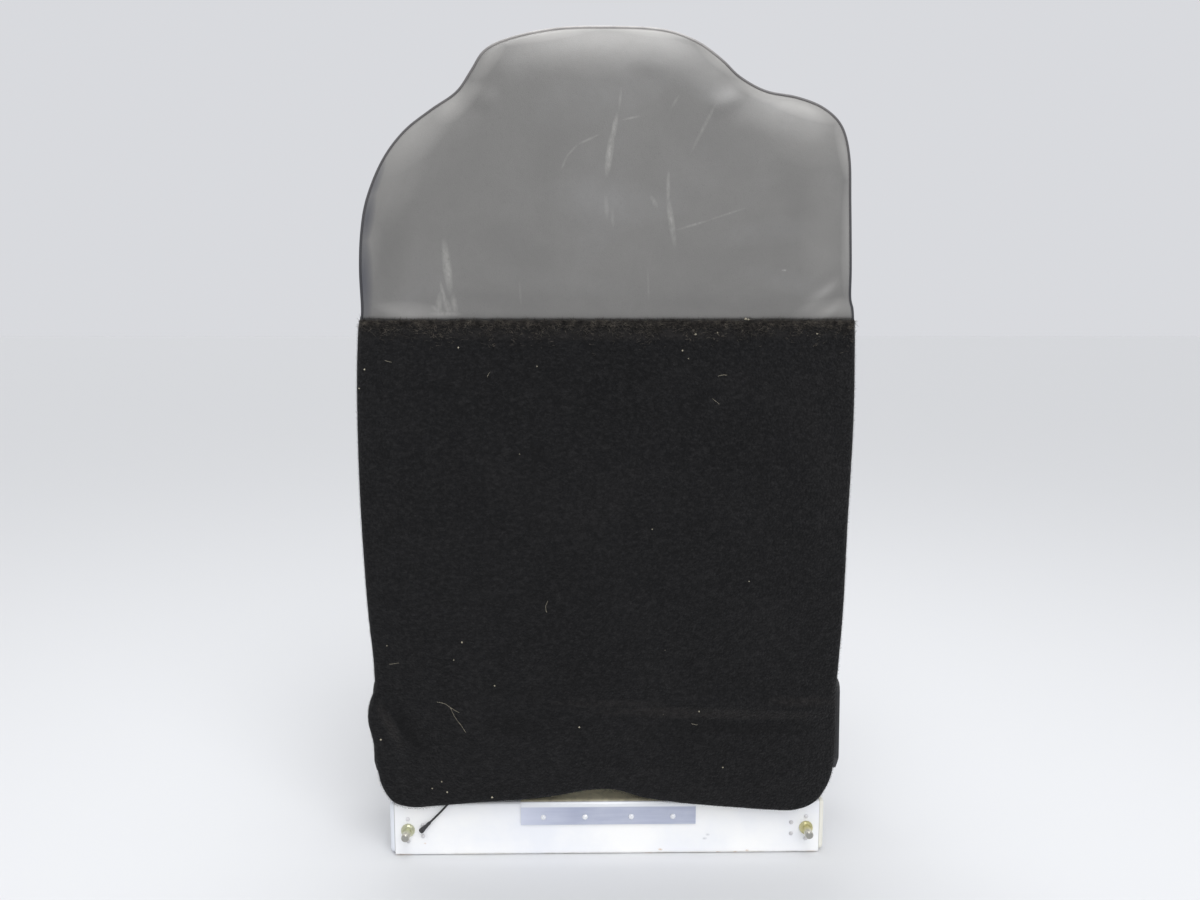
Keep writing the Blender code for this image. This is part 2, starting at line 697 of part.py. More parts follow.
def build_side_panel(name, side):
    """A shallow tray, open inboard, whose rounded edges show past the ends of the rear web."""
    low = Vector((HALF_BASE - SIDE_FLANGE, SIDE_REAR_Y, SIDE_LIFT))
    high = Vector((HALF_BASE, SIDE_FRONT_Y, BASE_HEIGHT))
    bm = bmesh.new()
    bmesh.ops.create_cube(bm, size=1, matrix=Matrix.Diagonal((*(high - low), 1)))
    inboard = [face for face in bm.faces if face.normal.x < -0.5]
    bmesh.ops.delete(bm, geom=inboard, context="FACES_ONLY")
    folds = [edge for edge in bm.edges if len(edge.link_faces) == 2]
    bmesh.ops.bevel(bm, geom=folds, offset=SIDE_BEND, segments=3, profile=0.5, affect="EDGES")
    middle = (low + high) / 2
    if side < 0:
        bmesh.ops.scale(bm, verts=bm.verts, vec=(-1, 1, 1))
        bmesh.ops.reverse_faces(bm, faces=bm.faces)
    mesh = bpy.data.meshes.new(name)
    bm.to_mesh(mesh)
    bm.free()
    item = add_object(name, mesh, BASE, WHITE, (side * middle.x, middle.y, middle.z))
    solid = item.modifiers.new("sheet", "SOLIDIFY")
    solid.thickness = SHEET
    solid.offset = -1
    solid.use_even_offset = True
    web = [
        (side * HALF_BASE, BASE_DEPTH * (i + 1) / (LIGHTENING_COUNT + 1), BASE_HEIGHT / 2)
        for i in range(LIGHTENING_COUNT)
    ]
    boolean(item, round_cutters(f"{name}_holes", BASE, web, LIGHTENING_RADIUS, 4 * MM, "+X"))
    ours = [(side * PIN_X, SIDE_REAR_Y, PIN_Z)]
    boolean(item, round_cutters(
        f"{name}_pin_hole", BASE, ours, PIN_RADIUS + HOLE_CLEARANCE, 4 * MM, "-Y"))
    rivets = [(side * (PIN_X + dx), SIDE_REAR_Y, PIN_Z + dz) for dx, dz in PIN_RIVET_OFFSETS]
    boolean(item, round_cutters(
        f"{name}_rivet_holes", BASE, rivets, SMALL_RIVET_SHANK + HOLE_CLEARANCE, 4 * MM, "-Y", 6))
    bolts = [(side * BRACKET_BOLT_X, y, BASE_HEIGHT) for y in BRACKET_BOLT_PLACES_Y]
    boolean(item, round_cutters(
        f"{name}_bolt_holes", BASE, bolts, BOLT_RADIUS + HOLE_CLEARANCE, 4 * MM, "+Z", 10))
    return item


def build_seat_pan():
    outline = rounded([
        (-PAN_HALF_WIDTH, PAN_REAR_Y), (PAN_HALF_WIDTH, PAN_REAR_Y),
        (PAN_HALF_WIDTH, PAN_FRONT_Y), (-PAN_HALF_WIDTH, PAN_FRONT_Y),
    ], 6 * MM, 2)
    rows = [(a + b) / 2 for a, b in zip(HAT_PLACES_Y, HAT_PLACES_Y[1:])]
    columns = [PAN_HALF_WIDTH * share for share in (-0.6, -0.2, 0.2, 0.6)]
    holes = [circle((x, y), PAN_HOLE_RADIUS, 14) for y in rows for x in columns]
    for side in (-1, 1):
        for y in BRACKET_BOLT_PLACES_Y:
            holes.append(circle((side * BRACKET_BOLT_X, y), BOLT_RADIUS + HOLE_CLEARANCE, 10))
    plate("seat_pan", BASE, WHITE, "XY", outline, PAN_BOTTOM_Z, PAN_TOP_Z, holes)


def build_pan_stiffeners():
    """Hat sections under the pan, one behind the other."""
    high = BASE_HEIGHT - PAN_SHEET / 2
    low = BASE_HEIGHT - HAT_DEPTH
    half = HAT_WIDTH / 2
    for number, y in enumerate(HAT_PLACES_Y, 1):
        section = rounded([
            (y - half - HAT_FLANGE, high), (y - half, high), (y - half, low),
            (y + half, low), (y + half, high), (y + half + HAT_FLANGE, high),
        ], 2 * MM, 2, closed=False)
        formed_sheet(
            f"pan_stiffener_{number}", BASE, ALUMINIUM, "YZ", section,
            -FLANGE_HALF_WIDTH, FLANGE_HALF_WIDTH, PAN_SHEET)


def build_striker_angle():
    web = -GAP - SHEET / 2
    top = BASE_HEIGHT + GAP + SHEET / 2
    section = rounded(
        [(web, BASE_HEIGHT - ANGLE_DROP), (web, top), (ANGLE_REACH, top)], ANGLE_BEND, 4, closed=False)
    item = formed_sheet(
        "striker_angle", BASE, CHROMATE, "YZ", section,
        ANGLE_CENTRE_X - ANGLE_LENGTH / 2, ANGLE_CENTRE_X + ANGLE_LENGTH / 2, SHEET)
    boolean(item, round_cutters(
        "angle_rivet_holes", BASE, [(x, web, ANGLE_RIVET_Z) for x in ANGLE_RIVET_PLACES_X],
        RIVET_SHANK + HOLE_CLEARANCE, 3 * MM, "-Y", 8))
    boolean(item, round_cutters(
        "angle_bolt_hole", BASE, [(LATCH_X, LATCH_Y, top)], LATCH_BOLT_RADIUS + 0.7 * MM, 3 * MM, "+Z"))
    return item


def rivet_rings(shank, head, rise, outer, inner):
    """Rings of a rivet: its domed head on the outer face, its shank and its formed tail inside."""
    return [
        (outer + GAP + rise, 0.45 * head, False),
        (outer + GAP + 0.6 * rise, 0.88 * head, False),
        (outer + GAP, head, False),
        (outer + GAP, shank, False),
        (-inner - GAP, shank, False),
        (-inner - GAP, 1.5 * shank, False),
        (-inner - GAP - rise, 1.4 * shank, False),
    ]


def build_striker_rivets():
    rings = rivet_rings(RIVET_SHANK, RIVET_HEAD, RIVET_RISE, GAP + SHEET, SHEET)
    places = [(x, 0, ANGLE_RIVET_Z) for x in ANGLE_RIVET_PLACES_X]
    fasteners("striker_rivet", BASE, ALUMINIUM, rings, places, "-Y", 8)


def build_locating_pins():
    profile = [
        (0, PIN_REACH),
        (PIN_RADIUS - 1.1 * MM, PIN_REACH),
        (PIN_RADIUS, PIN_REACH - 1.5 * MM),
        (PIN_RADIUS, PIN_BOSS_HEIGHT + GAP),
        (0.78 * PIN_BOSS_RADIUS, PIN_BOSS_HEIGHT),
        (0.95 * PIN_BOSS_RADIUS, 0.65 * PIN_BOSS_HEIGHT),
        (PIN_BOSS_RADIUS, 0.3 * PIN_BOSS_HEIGHT),
        (PIN_BOSS_RADIUS, GAP),
        (PIN_RADIUS, GAP),
        (PIN_RADIUS, -DOUBLER_FRONT_Y - PIN_TAIL),
        (PIN_RADIUS - 1 * MM, -DOUBLER_FRONT_Y - PIN_TAIL - 1 * MM),
        (0, -DOUBLER_FRONT_Y - PIN_TAIL - 1 * MM),
    ]
    for name, side in (("left", -1), ("right", 1)):
        turned(f"locating_pin_{name}", BASE, BRASS_PLATED, profile, (side * PIN_X, 0, PIN_Z), "-Y", 16)
    far = -DOUBLER_FRONT_Y - GAP
    near = far - PIN_NUT_THICKNESS
    bore = PIN_RADIUS + HOLE_CLEARANCE
    rings = [(far, 7.5 * MM, True), (near, 7.5 * MM, True), (near, bore, False), (far, bore, False)]
    fasteners("pin_nut", BASE, STEEL, rings, pin_places([(0, 0)], 0), "-Y", 12, bored=True)


def build_pin_doublers():
    """Plates behind the web, each one piece with the four rivets that hold it."""
    centre = PIN_X - 6 * MM
    half = DOUBLER_WIDTH / 2
    tail = DOUBLER_FRONT_Y + SMALL_RIVET_RISE
    rings = [
        (GAP + SMALL_RIVET_RISE, 0.5 * SMALL_RIVET_HEAD, False),
        (GAP + 0.6 * SMALL_RIVET_RISE, 0.88 * SMALL_RIVET_HEAD, False),
        (GAP, SMALL_RIVET_HEAD, False),
        (GAP, SMALL_RIVET_SHANK, False),
        (-DOUBLER_Y - DOUBLER_SHEET / 2, SMALL_RIVET_SHANK, False),
        (-DOUBLER_Y - DOUBLER_SHEET / 2, 1.4 * SMALL_RIVET_SHANK, False),
        (-tail, 1.3 * SMALL_RIVET_SHANK, False),
    ]
    for name, side in (("left", -1), ("right", 1)):
        corners = [
            (side * centre + across * half, PIN_Z + up * DOUBLER_HEIGHT / 2)
            for across, up in ((-1, -1), (1, -1), (1, 1), (-1, 1))
        ]
        holes = [circle((side * PIN_X, PIN_Z), PIN_RADIUS + HOLE_CLEARANCE, 12)]
        flat = plate(
            f"pin_doubler_{name}", BASE, None, "XZ", rounded(corners, 4 * MM, 2),
            DOUBLER_Y, DOUBLER_FRONT_Y, holes)
        item = as_mesh(flat)
        item.data.materials.append(ALUMINIUM)
        places = [(side * (PIN_X + dx), 0, PIN_Z + dz) for dx, dz in PIN_RIVET_OFFSETS]
        label = f"pin_rivets_{name}"
        rivets = add_object(label, ring_mesh(label, rings, places, "-Y", 6), BASE, cutter=True)
        boolean(item, rivets, "UNION")


# Pivots of the back


def build_pivot_bracket(name, side):
    """An L section whose upright leg is cut to a tapered plate with a round eye."""
    web = side * (BRACKET_X - BRACKET_SHEET / 2)
    foot = side * (BRACKET_X - BRACKET_SHEET - BRACKET_FOOT)
    level = BRACKET_FOOT_Z + BRACKET_SHEET / 2
    top = PIVOT_Z + BRACKET_EYE + 5 * MM
    section = rounded([(foot, level), (web, level), (web, top)], BRACKET_BEND, 3, closed=False)
    item = formed_sheet(
        name, BASE, STEEL, "XZ", section, BRACKET_REAR_Y - 2 * MM, BRACKET_FRONT_Y + 2 * MM, BRACKET_SHEET)
    eye = [
        (PIVOT_Y + BRACKET_EYE * cos(a), PIVOT_Z + BRACKET_EYE * sin(a))
        for a in [radians(-10 + 200 * i / 10) for i in range(11)]
    ]
    corners = in_mm(BRACKET_OUTLINE)
    outline = corners[:4] + eye + corners[4:]
    reach = BRACKET_X + 5 * MM
    low, high = (0.7 * reach, reach) if side > 0 else (-reach, -0.7 * reach)
    trim = as_mesh(plate(f"{name}_trim", BASE, None, "YZ", outline, low, high, cutter=True))
    boolean(item, trim, "INTERSECT")
    boolean(item, round_cutters(
        f"{name}_eye", BASE, [(web, PIVOT_Y, PIVOT_Z)], PIVOT_BOLT_RADIUS + HOLE_CLEARANCE, 4 * MM, "+X", 16))
    boolean(item, round_cutters(
        f"{name}_stop_hole", BASE, [(web, STOP_PIN_Y, STOP_PIN_Z)],
        STOP_PIN_SHANK + HOLE_CLEARANCE, 4 * MM, "+X", 10))
    bolts = [(side * BRACKET_BOLT_X, y, level) for y in BRACKET_BOLT_PLACES_Y]
    boolean(item, round_cutters(
        f"{name}_bolt_holes", BASE, bolts, BOLT_RADIUS + HOLE_CLEARANCE, 4 * MM, "+Z", 10))
    return item


def build_bracket_bolts():
    top = BRACKET_FOOT_Z + BRACKET_SHEET + GAP
    bottom = BASE_HEIGHT - SHEET - GAP
    rings = [
        (top + BOLT_HEAD_HEIGHT, BOLT_HEAD_RADIUS, True),
        (top, BOLT_HEAD_RADIUS, True),
        (top, BOLT_RADIUS, False),
        (bottom, BOLT_RADIUS, False),
        (bottom, BOLT_HEAD_RADIUS, True),
        (bottom - BOLT_HEAD_HEIGHT, BOLT_HEAD_RADIUS, True),
        (bottom - BOLT_HEAD_HEIGHT, BOLT_RADIUS, False),
        (bottom - BOLT_HEAD_HEIGHT - 2 * MM, BOLT_RADIUS, False),
    ]
    places = [(side * BRACKET_BOLT_X, y, 0) for side in (-1, 1) for y in BRACKET_BOLT_PLACES_Y]
    fasteners("bracket_bolt", BASE, STEEL, rings, places, "+Z", 12)


def build_pivots():
    inner = BRACKET_X - BRACKET_SHEET - GAP
    outer = ARM_OUTER_X + BUSH_FLANGE_THICKNESS + GAP
    bolt = [
        (outer + PIVOT_HEAD_HEIGHT, PIVOT_HEAD_RADIUS, True),
        (outer, PIVOT_HEAD_RADIUS, True),
        (outer, PIVOT_BOLT_RADIUS, False),
        (inner, PIVOT_BOLT_RADIUS, False),
        (inner, PIVOT_HEAD_RADIUS, True),
        (inner - PIVOT_HEAD_HEIGHT, PIVOT_HEAD_RADIUS, True),
        (inner - PIVOT_HEAD_HEIGHT, PIVOT_BOLT_RADIUS, False),
        (inner - PIVOT_HEAD_HEIGHT - 2 * MM, PIVOT_BOLT_RADIUS, False),
    ]
    bore = PIVOT_BOLT_RADIUS + BUSH_PLAY
    barrel = BUSH_OUTER_RADIUS
    rim = barrel + BUSH_FLANGE
    start = BRACKET_X + GAP
    end = ARM_OUTER_X + BUSH_FLANGE_THICKNESS
    bush = [
        (end, bore, False), (end, rim, False),
        (ARM_OUTER_X + GAP, rim, False), (ARM_OUTER_X + GAP, barrel, False),
        (start + BUSH_FLANGE_THICKNESS, barrel, False), (start + BUSH_FLANGE_THICKNESS, rim, False),
        (start, rim, False), (start, bore, False),
    ]
    stop_outer = ARM_OUTER_X
    stop = [
        (stop_outer, STOP_PIN_RADIUS - 0.6 * MM, False),
        (stop_outer - 0.6 * MM, STOP_PIN_RADIUS, False),
        (BRACKET_X + GAP, STOP_PIN_RADIUS, False),
        (BRACKET_X + GAP, STOP_PIN_SHANK, False),
        (inner, STOP_PIN_SHANK, False),
        (inner, STOP_PIN_RADIUS, False),
        (inner - 2 * MM, STOP_PIN_RADIUS - 1 * MM, False),
    ]
    for name, side, axis in (("left", -1, "-X"), ("right", 1, "+X")):
        pivot = [(0, PIVOT_Y, PIVOT_Z)]
        fasteners(f"pivot_bolt_{name}", BASE, STEEL, bolt, pivot, axis, 12)
        fasteners(f"pivot_bush_{name}", BACK_LOW, BRONZE, bush, pivot, axis, 16, bored=True)
        fasteners(f"stop_pin_{name}", BASE, STEEL, stop, [(0, STOP_PIN_Y, STOP_PIN_Z)], axis, 12)


def build_arm_plates():
    outline = rounded(in_mm(ARM_OUTLINE), 8 * MM, 2)
    holes = [
        circle((PIVOT_Y, PIVOT_Z), BUSH_OUTER_RADIUS + GAP, 16),
        circle(ARM_HOLE_PLACE, ARM_HOLE_RADIUS, 12),
    ]
    for name, low, high in (
        ("left", -ARM_OUTER_X, -ARM_INNER_X),
        ("right", ARM_INNER_X, ARM_OUTER_X),
    ):
        plate(f"arm_plate_{name}", BACK_LOW, STEEL, "YZ", outline, low, high, holes)


def build_hinge_covers():
    """Moulded covers outboard of the arm plates: shells open inboard."""
    outline = rounded(in_mm(HINGE_COVER_OUTLINE), 10 * MM, 3)
    for name, side in (("left", -1), ("right", 1)):
        low, high = sorted((side * COVER_RIM_X, side * COVER_OUTER_X))
        item = as_mesh(plate(f"hinge_cover_{name}", BACK_LOW, None, "YZ", outline, low, high))
        item.data.materials.append(BLACK_PLASTIC)
        inner = inset(outline, COVER_WALL)
        low, high = sorted((side * (COVER_RIM_X - 5 * MM), side * (COVER_OUTER_X - COVER_WALL)))
        label = f"hinge_cover_{name}_hollow"
        hollow = as_mesh(plate(label, BACK_LOW, None, "YZ", inner, low, high, cutter=True))
        boolean(item, hollow)


# Seat cushion


def cushion_outline(margin, front):
    """The cushion from above: its neck runs back between the two pivot brackets."""
    half = CUSHION_WIDTH / 2 - margin
    neck = CUSHION_NECK_HALF - margin / 4
    rear = CUSHION_NECK_Y + margin / 4
    return [
        (-half, front), (-half, CUSHION_REAR_Y), (-neck, CUSHION_REAR_Y), (-neck, rear),
        (neck, rear), (neck, CUSHION_REAR_Y), (half, CUSHION_REAR_Y), (half, front),
    ]


def build_cushion():
    plate("seat_board", BASE, PLYWOOD, "XY", cushion_outline(BOARD_MARGIN, BOARD_FRONT_Y),
          BOARD_BOTTOM_Z, BOARD_BOTTOM_Z + BOARD_THICKNESS)
    item = as_mesh(plate("seat_cushion", BASE, None, "XY", cushion_outline(0, CUSHION_FRONT_Y),
                         CUSHION_BOTTOM_Z, CUSHION_FRONT_TOP))
    item.data.materials.append(LEATHER)
    length = CUSHION_FRONT_Y - CUSHION_NECK_Y
    for vertex in item.data.vertices:
        if vertex.co.z > 0:
            share = (CUSHION_FRONT_Y - vertex.co.y) / length
            vertex.co.z -= share * (CUSHION_FRONT_TOP - CUSHION_REAR_TOP)
    soften(item, CUSHION_EDGE, 3, weld=False)


# Upholstered back


def back_outline():
    return smooth(in_mm(BACK_OUTLINE), 2)


def build_rear_covers():
    outline = back_outline()
    upper = outline_between(outline, SEAM_HEIGHT, 1)
    lower = outline_between(outline, BACK_BOTTOM, SEAM_HEIGHT - GAP)
    for name, edge, material in (
        ("rear_leather_cover", upper, LEATHER),
        ("rear_carpet_panel", lower, CARPET),
    ):
        item = as_mesh(plate(name, PANEL, None, "XZ", edge, 0, COVER_THICKNESS))
        item.data.materials.append(material)
        soften(item, COVER_EDGE, 1, weld=False)
    low = BACK_BOTTOM - 3 * BACK_SHEET_INSET
    longer = [(outline[0][0], low), *outline, (outline[-1][0], low)]
    sheet = outline_between(inset(longer, BACK_SHEET_INSET), BACK_BOTTOM + BACK_SHEET_INSET, 1)
    plate("back_sheet", PANEL, ALUMINIUM, "XZ", sheet, BACK_SHEET_DEPTH, BACK_SHEET_DEPTH + BACK_SHEET)


def build_back_cushion():
    """The padded front of the back: rings of the outline that shrink towards a crowned face."""
    tongue = [
        (TONGUE_HALF_WIDTH, BACK_BOTTOM), (TONGUE_HALF_WIDTH, TONGUE_BOTTOM),
        (-TONGUE_HALF_WIDTH, TONGUE_BOTTOM), (-TONGUE_HALF_WIDTH, BACK_BOTTOM),
    ]
    outline = back_outline() + tongue
    count = len(outline)
    rings = (
        (0.975, 0), (0.995, 0.1), (1.0, 0.3), (0.992, 0.6), (0.965, 0.8),
        (0.9, 0.94), (0.68, 1.0), (0.34, 1.02),
    )
    table = in_mm(BACK_SECTION)
    centre = Vector((0, CROWN_HEIGHT))
    bm = bmesh.new()
    loops = []
    for scale, share in rings:
        loop = []
        for x, height in outline:
            place = centre + scale * (Vector((x, height)) - centre)
            if height < BACK_BOTTOM + 1 * MM:
                place.y = height + (1 - scale) * BOTTOM_RISE
            front = between(table, place.y)
            loop.append(bm.verts.new((place.x, FOAM_DEPTH + share * (front - FOAM_DEPTH), place.y)))
        loops.append(loop)
    for rear, front in zip(loops, loops[1:]):
        for i in range(count):
            j = (i + 1) % count
            bm.faces.new((rear[i], rear[j], front[j], front[i]))
    bm.faces.new(loops[0])
    bm.faces.new(loops[-1])
    bmesh.ops.recalc_face_normals(bm, faces=bm.faces)
    mesh = bpy.data.meshes.new("back_cushion")
    bm.to_mesh(mesh)
    bm.free()
    item = add_object("back_cushion", mesh, PANEL, LEATHER)
    groove = as_mesh(tube(
        "frame_groove", PANEL, None, frame_route(BACK_BOTTOM - 10 * MM),
        FRAME_TUBE_RADIUS + TUBE_WALL_PLAY, 1, cutter=True))
    boolean(item, groove)
    for number, height in enumerate(CROSS_TUBE_HEIGHTS, 1):
        cutter = as_mesh(tube(
            f"cross_groove_{number}", PANEL, None, cross_route(height),
            CROSS_TUBE_RADIUS + TUBE_WALL_PLAY, 1, cutter=True))
        boolean(item, cutter)
    for name, side in (("left", -1), ("right", 1)):
        low, high = sorted((side * (ARM_INNER_X - 2 * GAP), side * (ARM_OUTER_X + 2 * GAP)))
        slot = box(
            f"arm_slot_{name}", BACK_LOW, None, (low, *ARM_SLOT_LOW), (high, *ARM_SLOT_HIGH), cutter=True)
        boolean(item, slot)
    return item


def frame_route(bottom):
    """The frame tube: straight up both sides, then over behind the headrest."""
    side = FRAME_HALF_WIDTH
    knee = FRAME_TOP - 30 * MM
    corners = [
        (side, bottom), (side, FRAME_SHOULDER), (0.62 * side, knee), (0.3 * side, FRAME_TOP),
        (-0.3 * side, FRAME_TOP), (-0.62 * side, knee), (-side, FRAME_SHOULDER), (-side, bottom),
    ]
    return [(x, FRAME_DEPTH, z) for x, z in rounded(corners, 60 * MM, 4, closed=False)]


def cross_route(height):
    reach = FRAME_HALF_WIDTH
    return [(-reach, FRAME_DEPTH, height), (reach, FRAME_DEPTH, height)]


def build_back_frame():
    """The welded frame: a bent tube with three cross tubes, and the separate tube of its tail."""
    frame = as_mesh(tube("back_frame", PANEL, None, frame_route(BACK_BOTTOM + 4 * MM), FRAME_TUBE_RADIUS, 1))
    frame.data.materials.append(ALUMINIUM)
    for number, height in enumerate(CROSS_TUBE_HEIGHTS, 1):
        cross = as_mesh(tube(
            f"cross_tube_{number}", PANEL, None, cross_route(height), CROSS_TUBE_RADIUS, 1, cutter=True))
        boolean(frame, cross, "UNION")
    reach = ARM_INNER_X - GAP
    tube("tail_tube", BACK_LOW, ALUMINIUM,
         [(-reach, TAIL_TUBE_Y, TAIL_TUBE_Z), (reach, TAIL_TUBE_Y, TAIL_TUBE_Z)], TAIL_TUBE_RADIUS, 3)


def build_flap():
    """The carpet below the back, which hangs straight down from the edge of the panel."""
    outline = smooth(in_mm(FLAP_OUTLINE), 2)
    rear = PANEL_FOOT_Y - BACK_BOTTOM * sin(RECLINE) - GAP
    plate("carpet_flap", BACK_LOW, CARPET, "XZ", outline, rear, rear + FLAP_THICKNESS)


# Latch with its pull


def build_latch():
    width = HOUSING_WIDTH / 2
    low = (LATCH_X - width, HOUSING_REAR_Y, HOUSING_BOTTOM_Z)
    high = (LATCH_X + width, HOUSING_FRONT_Y, HOUSING_TOP_Z)
    housing = box("latch_housing", BACK_LOW, ALUMINIUM, low, high)
    middle = [(LATCH_X, LATCH_Y, 0)]
    past = 5 * MM
    for label, radius, floor in (
        ("latch_bore", LATCH_BORE_RADIUS, HOUSING_BOTTOM_Z - past),
        ("latch_chamber", SPRING_CHAMBER_RADIUS, HOUSING_BOTTOM_Z + LATCH_FLOOR),
    ):
        rings = [(HOUSING_TOP_Z + past, radius, False), (floor, radius, False)]
        cutter = add_object(label, ring_mesh(label, rings, middle, "+Z", 16), BACK_LOW, cutter=True)
        boolean(housing, cutter)
    profile = [
        (0, HOUSING_TOP_Z - 1 * MM), (LATCH_STEM_RADIUS, HOUSING_TOP_Z - 1 * MM),
        (LATCH_STEM_RADIUS, COLLAR_TOP_Z), (LATCH_COLLAR_RADIUS, COLLAR_TOP_Z),
        (LATCH_COLLAR_RADIUS, COLLAR_BOTTOM_Z), (LATCH_BOLT_RADIUS, COLLAR_BOTTOM_Z),
        (LATCH_BOLT_RADIUS, LATCH_NOSE_Z + 2.5 * MM),
        (0.6 * LATCH_BOLT_RADIUS, LATCH_NOSE_Z), (0, LATCH_NOSE_Z),
    ]
    turned("latch_bolt", LATCH_AXIS, STEEL, profile, (0, 0, 0), "+Z", 16)
    build_latch_spring()
    cap_low = HOUSING_TOP_Z + GAP
    cap_high = cap_low + LATCH_CAP_THICKNESS
    outline = rounded([
        (low[0], low[1]), (high[0], low[1]), (high[0], high[1]), (low[0], high[1])], 3 * MM, 2)
    plate("latch_cap", BACK_LOW, STEEL, "XY", outline, cap_low, cap_high,
          [circle((LATCH_X, LATCH_Y), LATCH_STEM_RADIUS + LATCH_BORE_PLAY, 12)])


def build_latch_spring():
    """A coil between the collar of the bolt and the cap."""
    radius = (LATCH_STEM_RADIUS + LATCH_COLLAR_RADIUS) / 2
    low = COLLAR_TOP_Z + SPRING_WIRE + GAP
    high = HOUSING_TOP_Z - SPRING_WIRE
    steps = 10 * SPRING_TURNS
    points = []
    for i in range(steps + 1):
        angle = 2 * pi * i / 10
        points.append((radius * cos(angle), radius * sin(angle), low + (high - low) * i / steps))
    tube("latch_spring", LATCH_AXIS, SPRING_STEEL, points, SPRING_WIRE, 0)


def build_pull_cord():
    tube("cable_conduit", BACK_LOW, BLACK_PLASTIC, smooth(in_mm(CONDUIT_ROUTE), 2), CONDUIT_RADIUS, 2)
    route = in_mm(CONDUIT_ROUTE)
    nearest = min(route, key=lambda p: abs(p[0] - CLIP_X))
    low = CLIP_X - CLIP_WIDTH / 2
    eye = (nearest[1], nearest[2])
    outline = [
        (TAIL_TUBE_Y + 10 * MM, TAIL_TUBE_Z - 9.5 * MM), (TAIL_TUBE_Y + 10 * MM, TAIL_TUBE_Z + 9.5 * MM),
        (eye[0] + 1 * MM, eye[1] + 6 * MM), (eye[0] - 5 * MM, eye[1] + 4 * MM),
        (eye[0] - 5 * MM, eye[1] - 4 * MM), (TAIL_TUBE_Y - 6 * MM, TAIL_TUBE_Z - 9.5 * MM),
    ]
    holes = [
        circle((TAIL_TUBE_Y, TAIL_TUBE_Z), TAIL_TUBE_RADIUS + GAP, 16),
        circle(eye, CONDUIT_RADIUS + 0.6 * MM, 12),
    ]
    edge = rounded(outline, 4 * MM, 2)
    plate("conduit_clip", BACK_LOW, BLACK_PLASTIC, "YZ", edge, low, low + CLIP_WIDTH, holes)
    points = smooth(in_mm(CORD_ROUTE), 3)
    tube("pull_cord", BACK_LOW, BLACK_CORD, points, CORD_RADIUS, 2)
    direction = Vector(PULL_DIRECTION).normalized()
    start = Vector(points[-1]) + direction * GAP
    profile = [
        (0, 0), (PULL_NECK * 0.8, 0), (PULL_NECK, 0.1 * PULL_LENGTH), (PULL_NECK, 0.35 * PULL_LENGTH),
        (0.75 * PULL_RADIUS, 0.55 * PULL_LENGTH), (0.95 * PULL_RADIUS, 0.8 * PULL_LENGTH),
        (PULL_RADIUS, 0.93 * PULL_LENGTH), (0.85 * PULL_RADIUS, PULL_LENGTH), (0, PULL_LENGTH),
    ]
    item = turned("cord_pull", BACK_LOW, BLACK_CORD, list(reversed(profile)), start, "+Z", 12)
    item.rotation_euler = direction.to_track_quat("Z", "Y").to_euler()


# Front hold-down


def build_hold_down():
    rear = BASE_DEPTH - SHEET - GAP - HOOK_BRACKET_LENGTH
    web = BASE_DEPTH - SHEET - GAP - SHEET / 2
    section = rounded([
        (-HOOK_CHEEK_X, rear), (-HOOK_CHEEK_X, web), (HOOK_CHEEK_X, web), (HOOK_CHEEK_X, rear),
    ], 2.5 * MM, 2, closed=False)
    bracket = formed_sheet(
        "hold_down_bracket", BASE, STEEL, "XY", section, HOOK_BRACKET_LOW, HOOK_BRACKET_HIGH, SHEET)
    boolean(bracket, round_cutters(
        "hook_pin_holes", BASE, [(0, HOOK_Y, HOOK_Z)], HOOK_PIN_RADIUS + HOLE_CLEARANCE, 30 * MM, "+X"))
    boolean(bracket, lever_slot("bracket_slot", BASE_DEPTH))
    plate("hold_down_hook", HOOK_AXIS, STEEL, "YZ", rounded(in_mm(HOOK_OUTLINE), 2.5 * MM, 2),
          -HOOK_THICKNESS / 2, HOOK_THICKNESS / 2, [circle((0, 0), HOOK_PIN_RADIUS + 0.1 * MM, 16)])
    reach = HOOK_CHEEK_X + SHEET / 2 + GAP
    rings = [
        (reach + 2 * MM, 4 * MM, False), (reach, 4.6 * MM, False), (reach, HOOK_PIN_RADIUS, False),
        (-reach, HOOK_PIN_RADIUS, False), (-reach, 4.6 * MM, False), (-reach - 2 * MM, 4 * MM, False),
    ]
    fasteners("hook_pin", BASE, STEEL, rings, [(0, HOOK_Y, HOOK_Z)], "+X", 16)
    end = in_mm(HOOK_OUTLINE)[4][0] + 1.5 * MM
    low = Vector((-GRIP_WIDTH / 2, end - GRIP_LENGTH, 0.5 * MM - GRIP_HEIGHT / 2))
    high = Vector((GRIP_WIDTH / 2, end, 0.5 * MM + GRIP_HEIGHT / 2))
    grip = box("lever_grip", HOOK_AXIS, RED_PLASTIC, low, high)
    soften(grip, 3 * MM, 2, weld=False)
    half = HOOK_THICKNESS / 2 + GAP
    hollow = box("grip_hollow", HOOK_AXIS, None, (-half, end - GRIP_LENGTH - 5 * MM, -3 * MM - GAP),
                 (half, end - 1.5 * MM + GAP, 4 * MM + GAP), cutter=True)
    boolean(grip, hollow)
    build_hook_spring()


def build_hook_spring():
    """A torsion spring round the pin, beside the hook, with one leg up to the bracket's cheek."""
    wire = 0.8 * MM
    radius = HOOK_PIN_RADIUS + 0.5 * MM + wire
    low = HOOK_THICKNESS / 2 + GAP + wire
    high = HOOK_CHEEK_X - SHEET / 2 - GAP - wire
    steps = 40
    points = []
    for i in range(steps + 1):
        angle = 2 * pi * i / 10
        x = low + (high - low) * i / steps
        points.append((x, HOOK_Y + radius * cos(angle), HOOK_Z + radius * sin(angle)))
    points.append((high, HOOK_Y + radius, HOOK_Z + 14 * MM))
    tube("hook_spring", BASE, SPRING_STEEL, points, wire, 0)


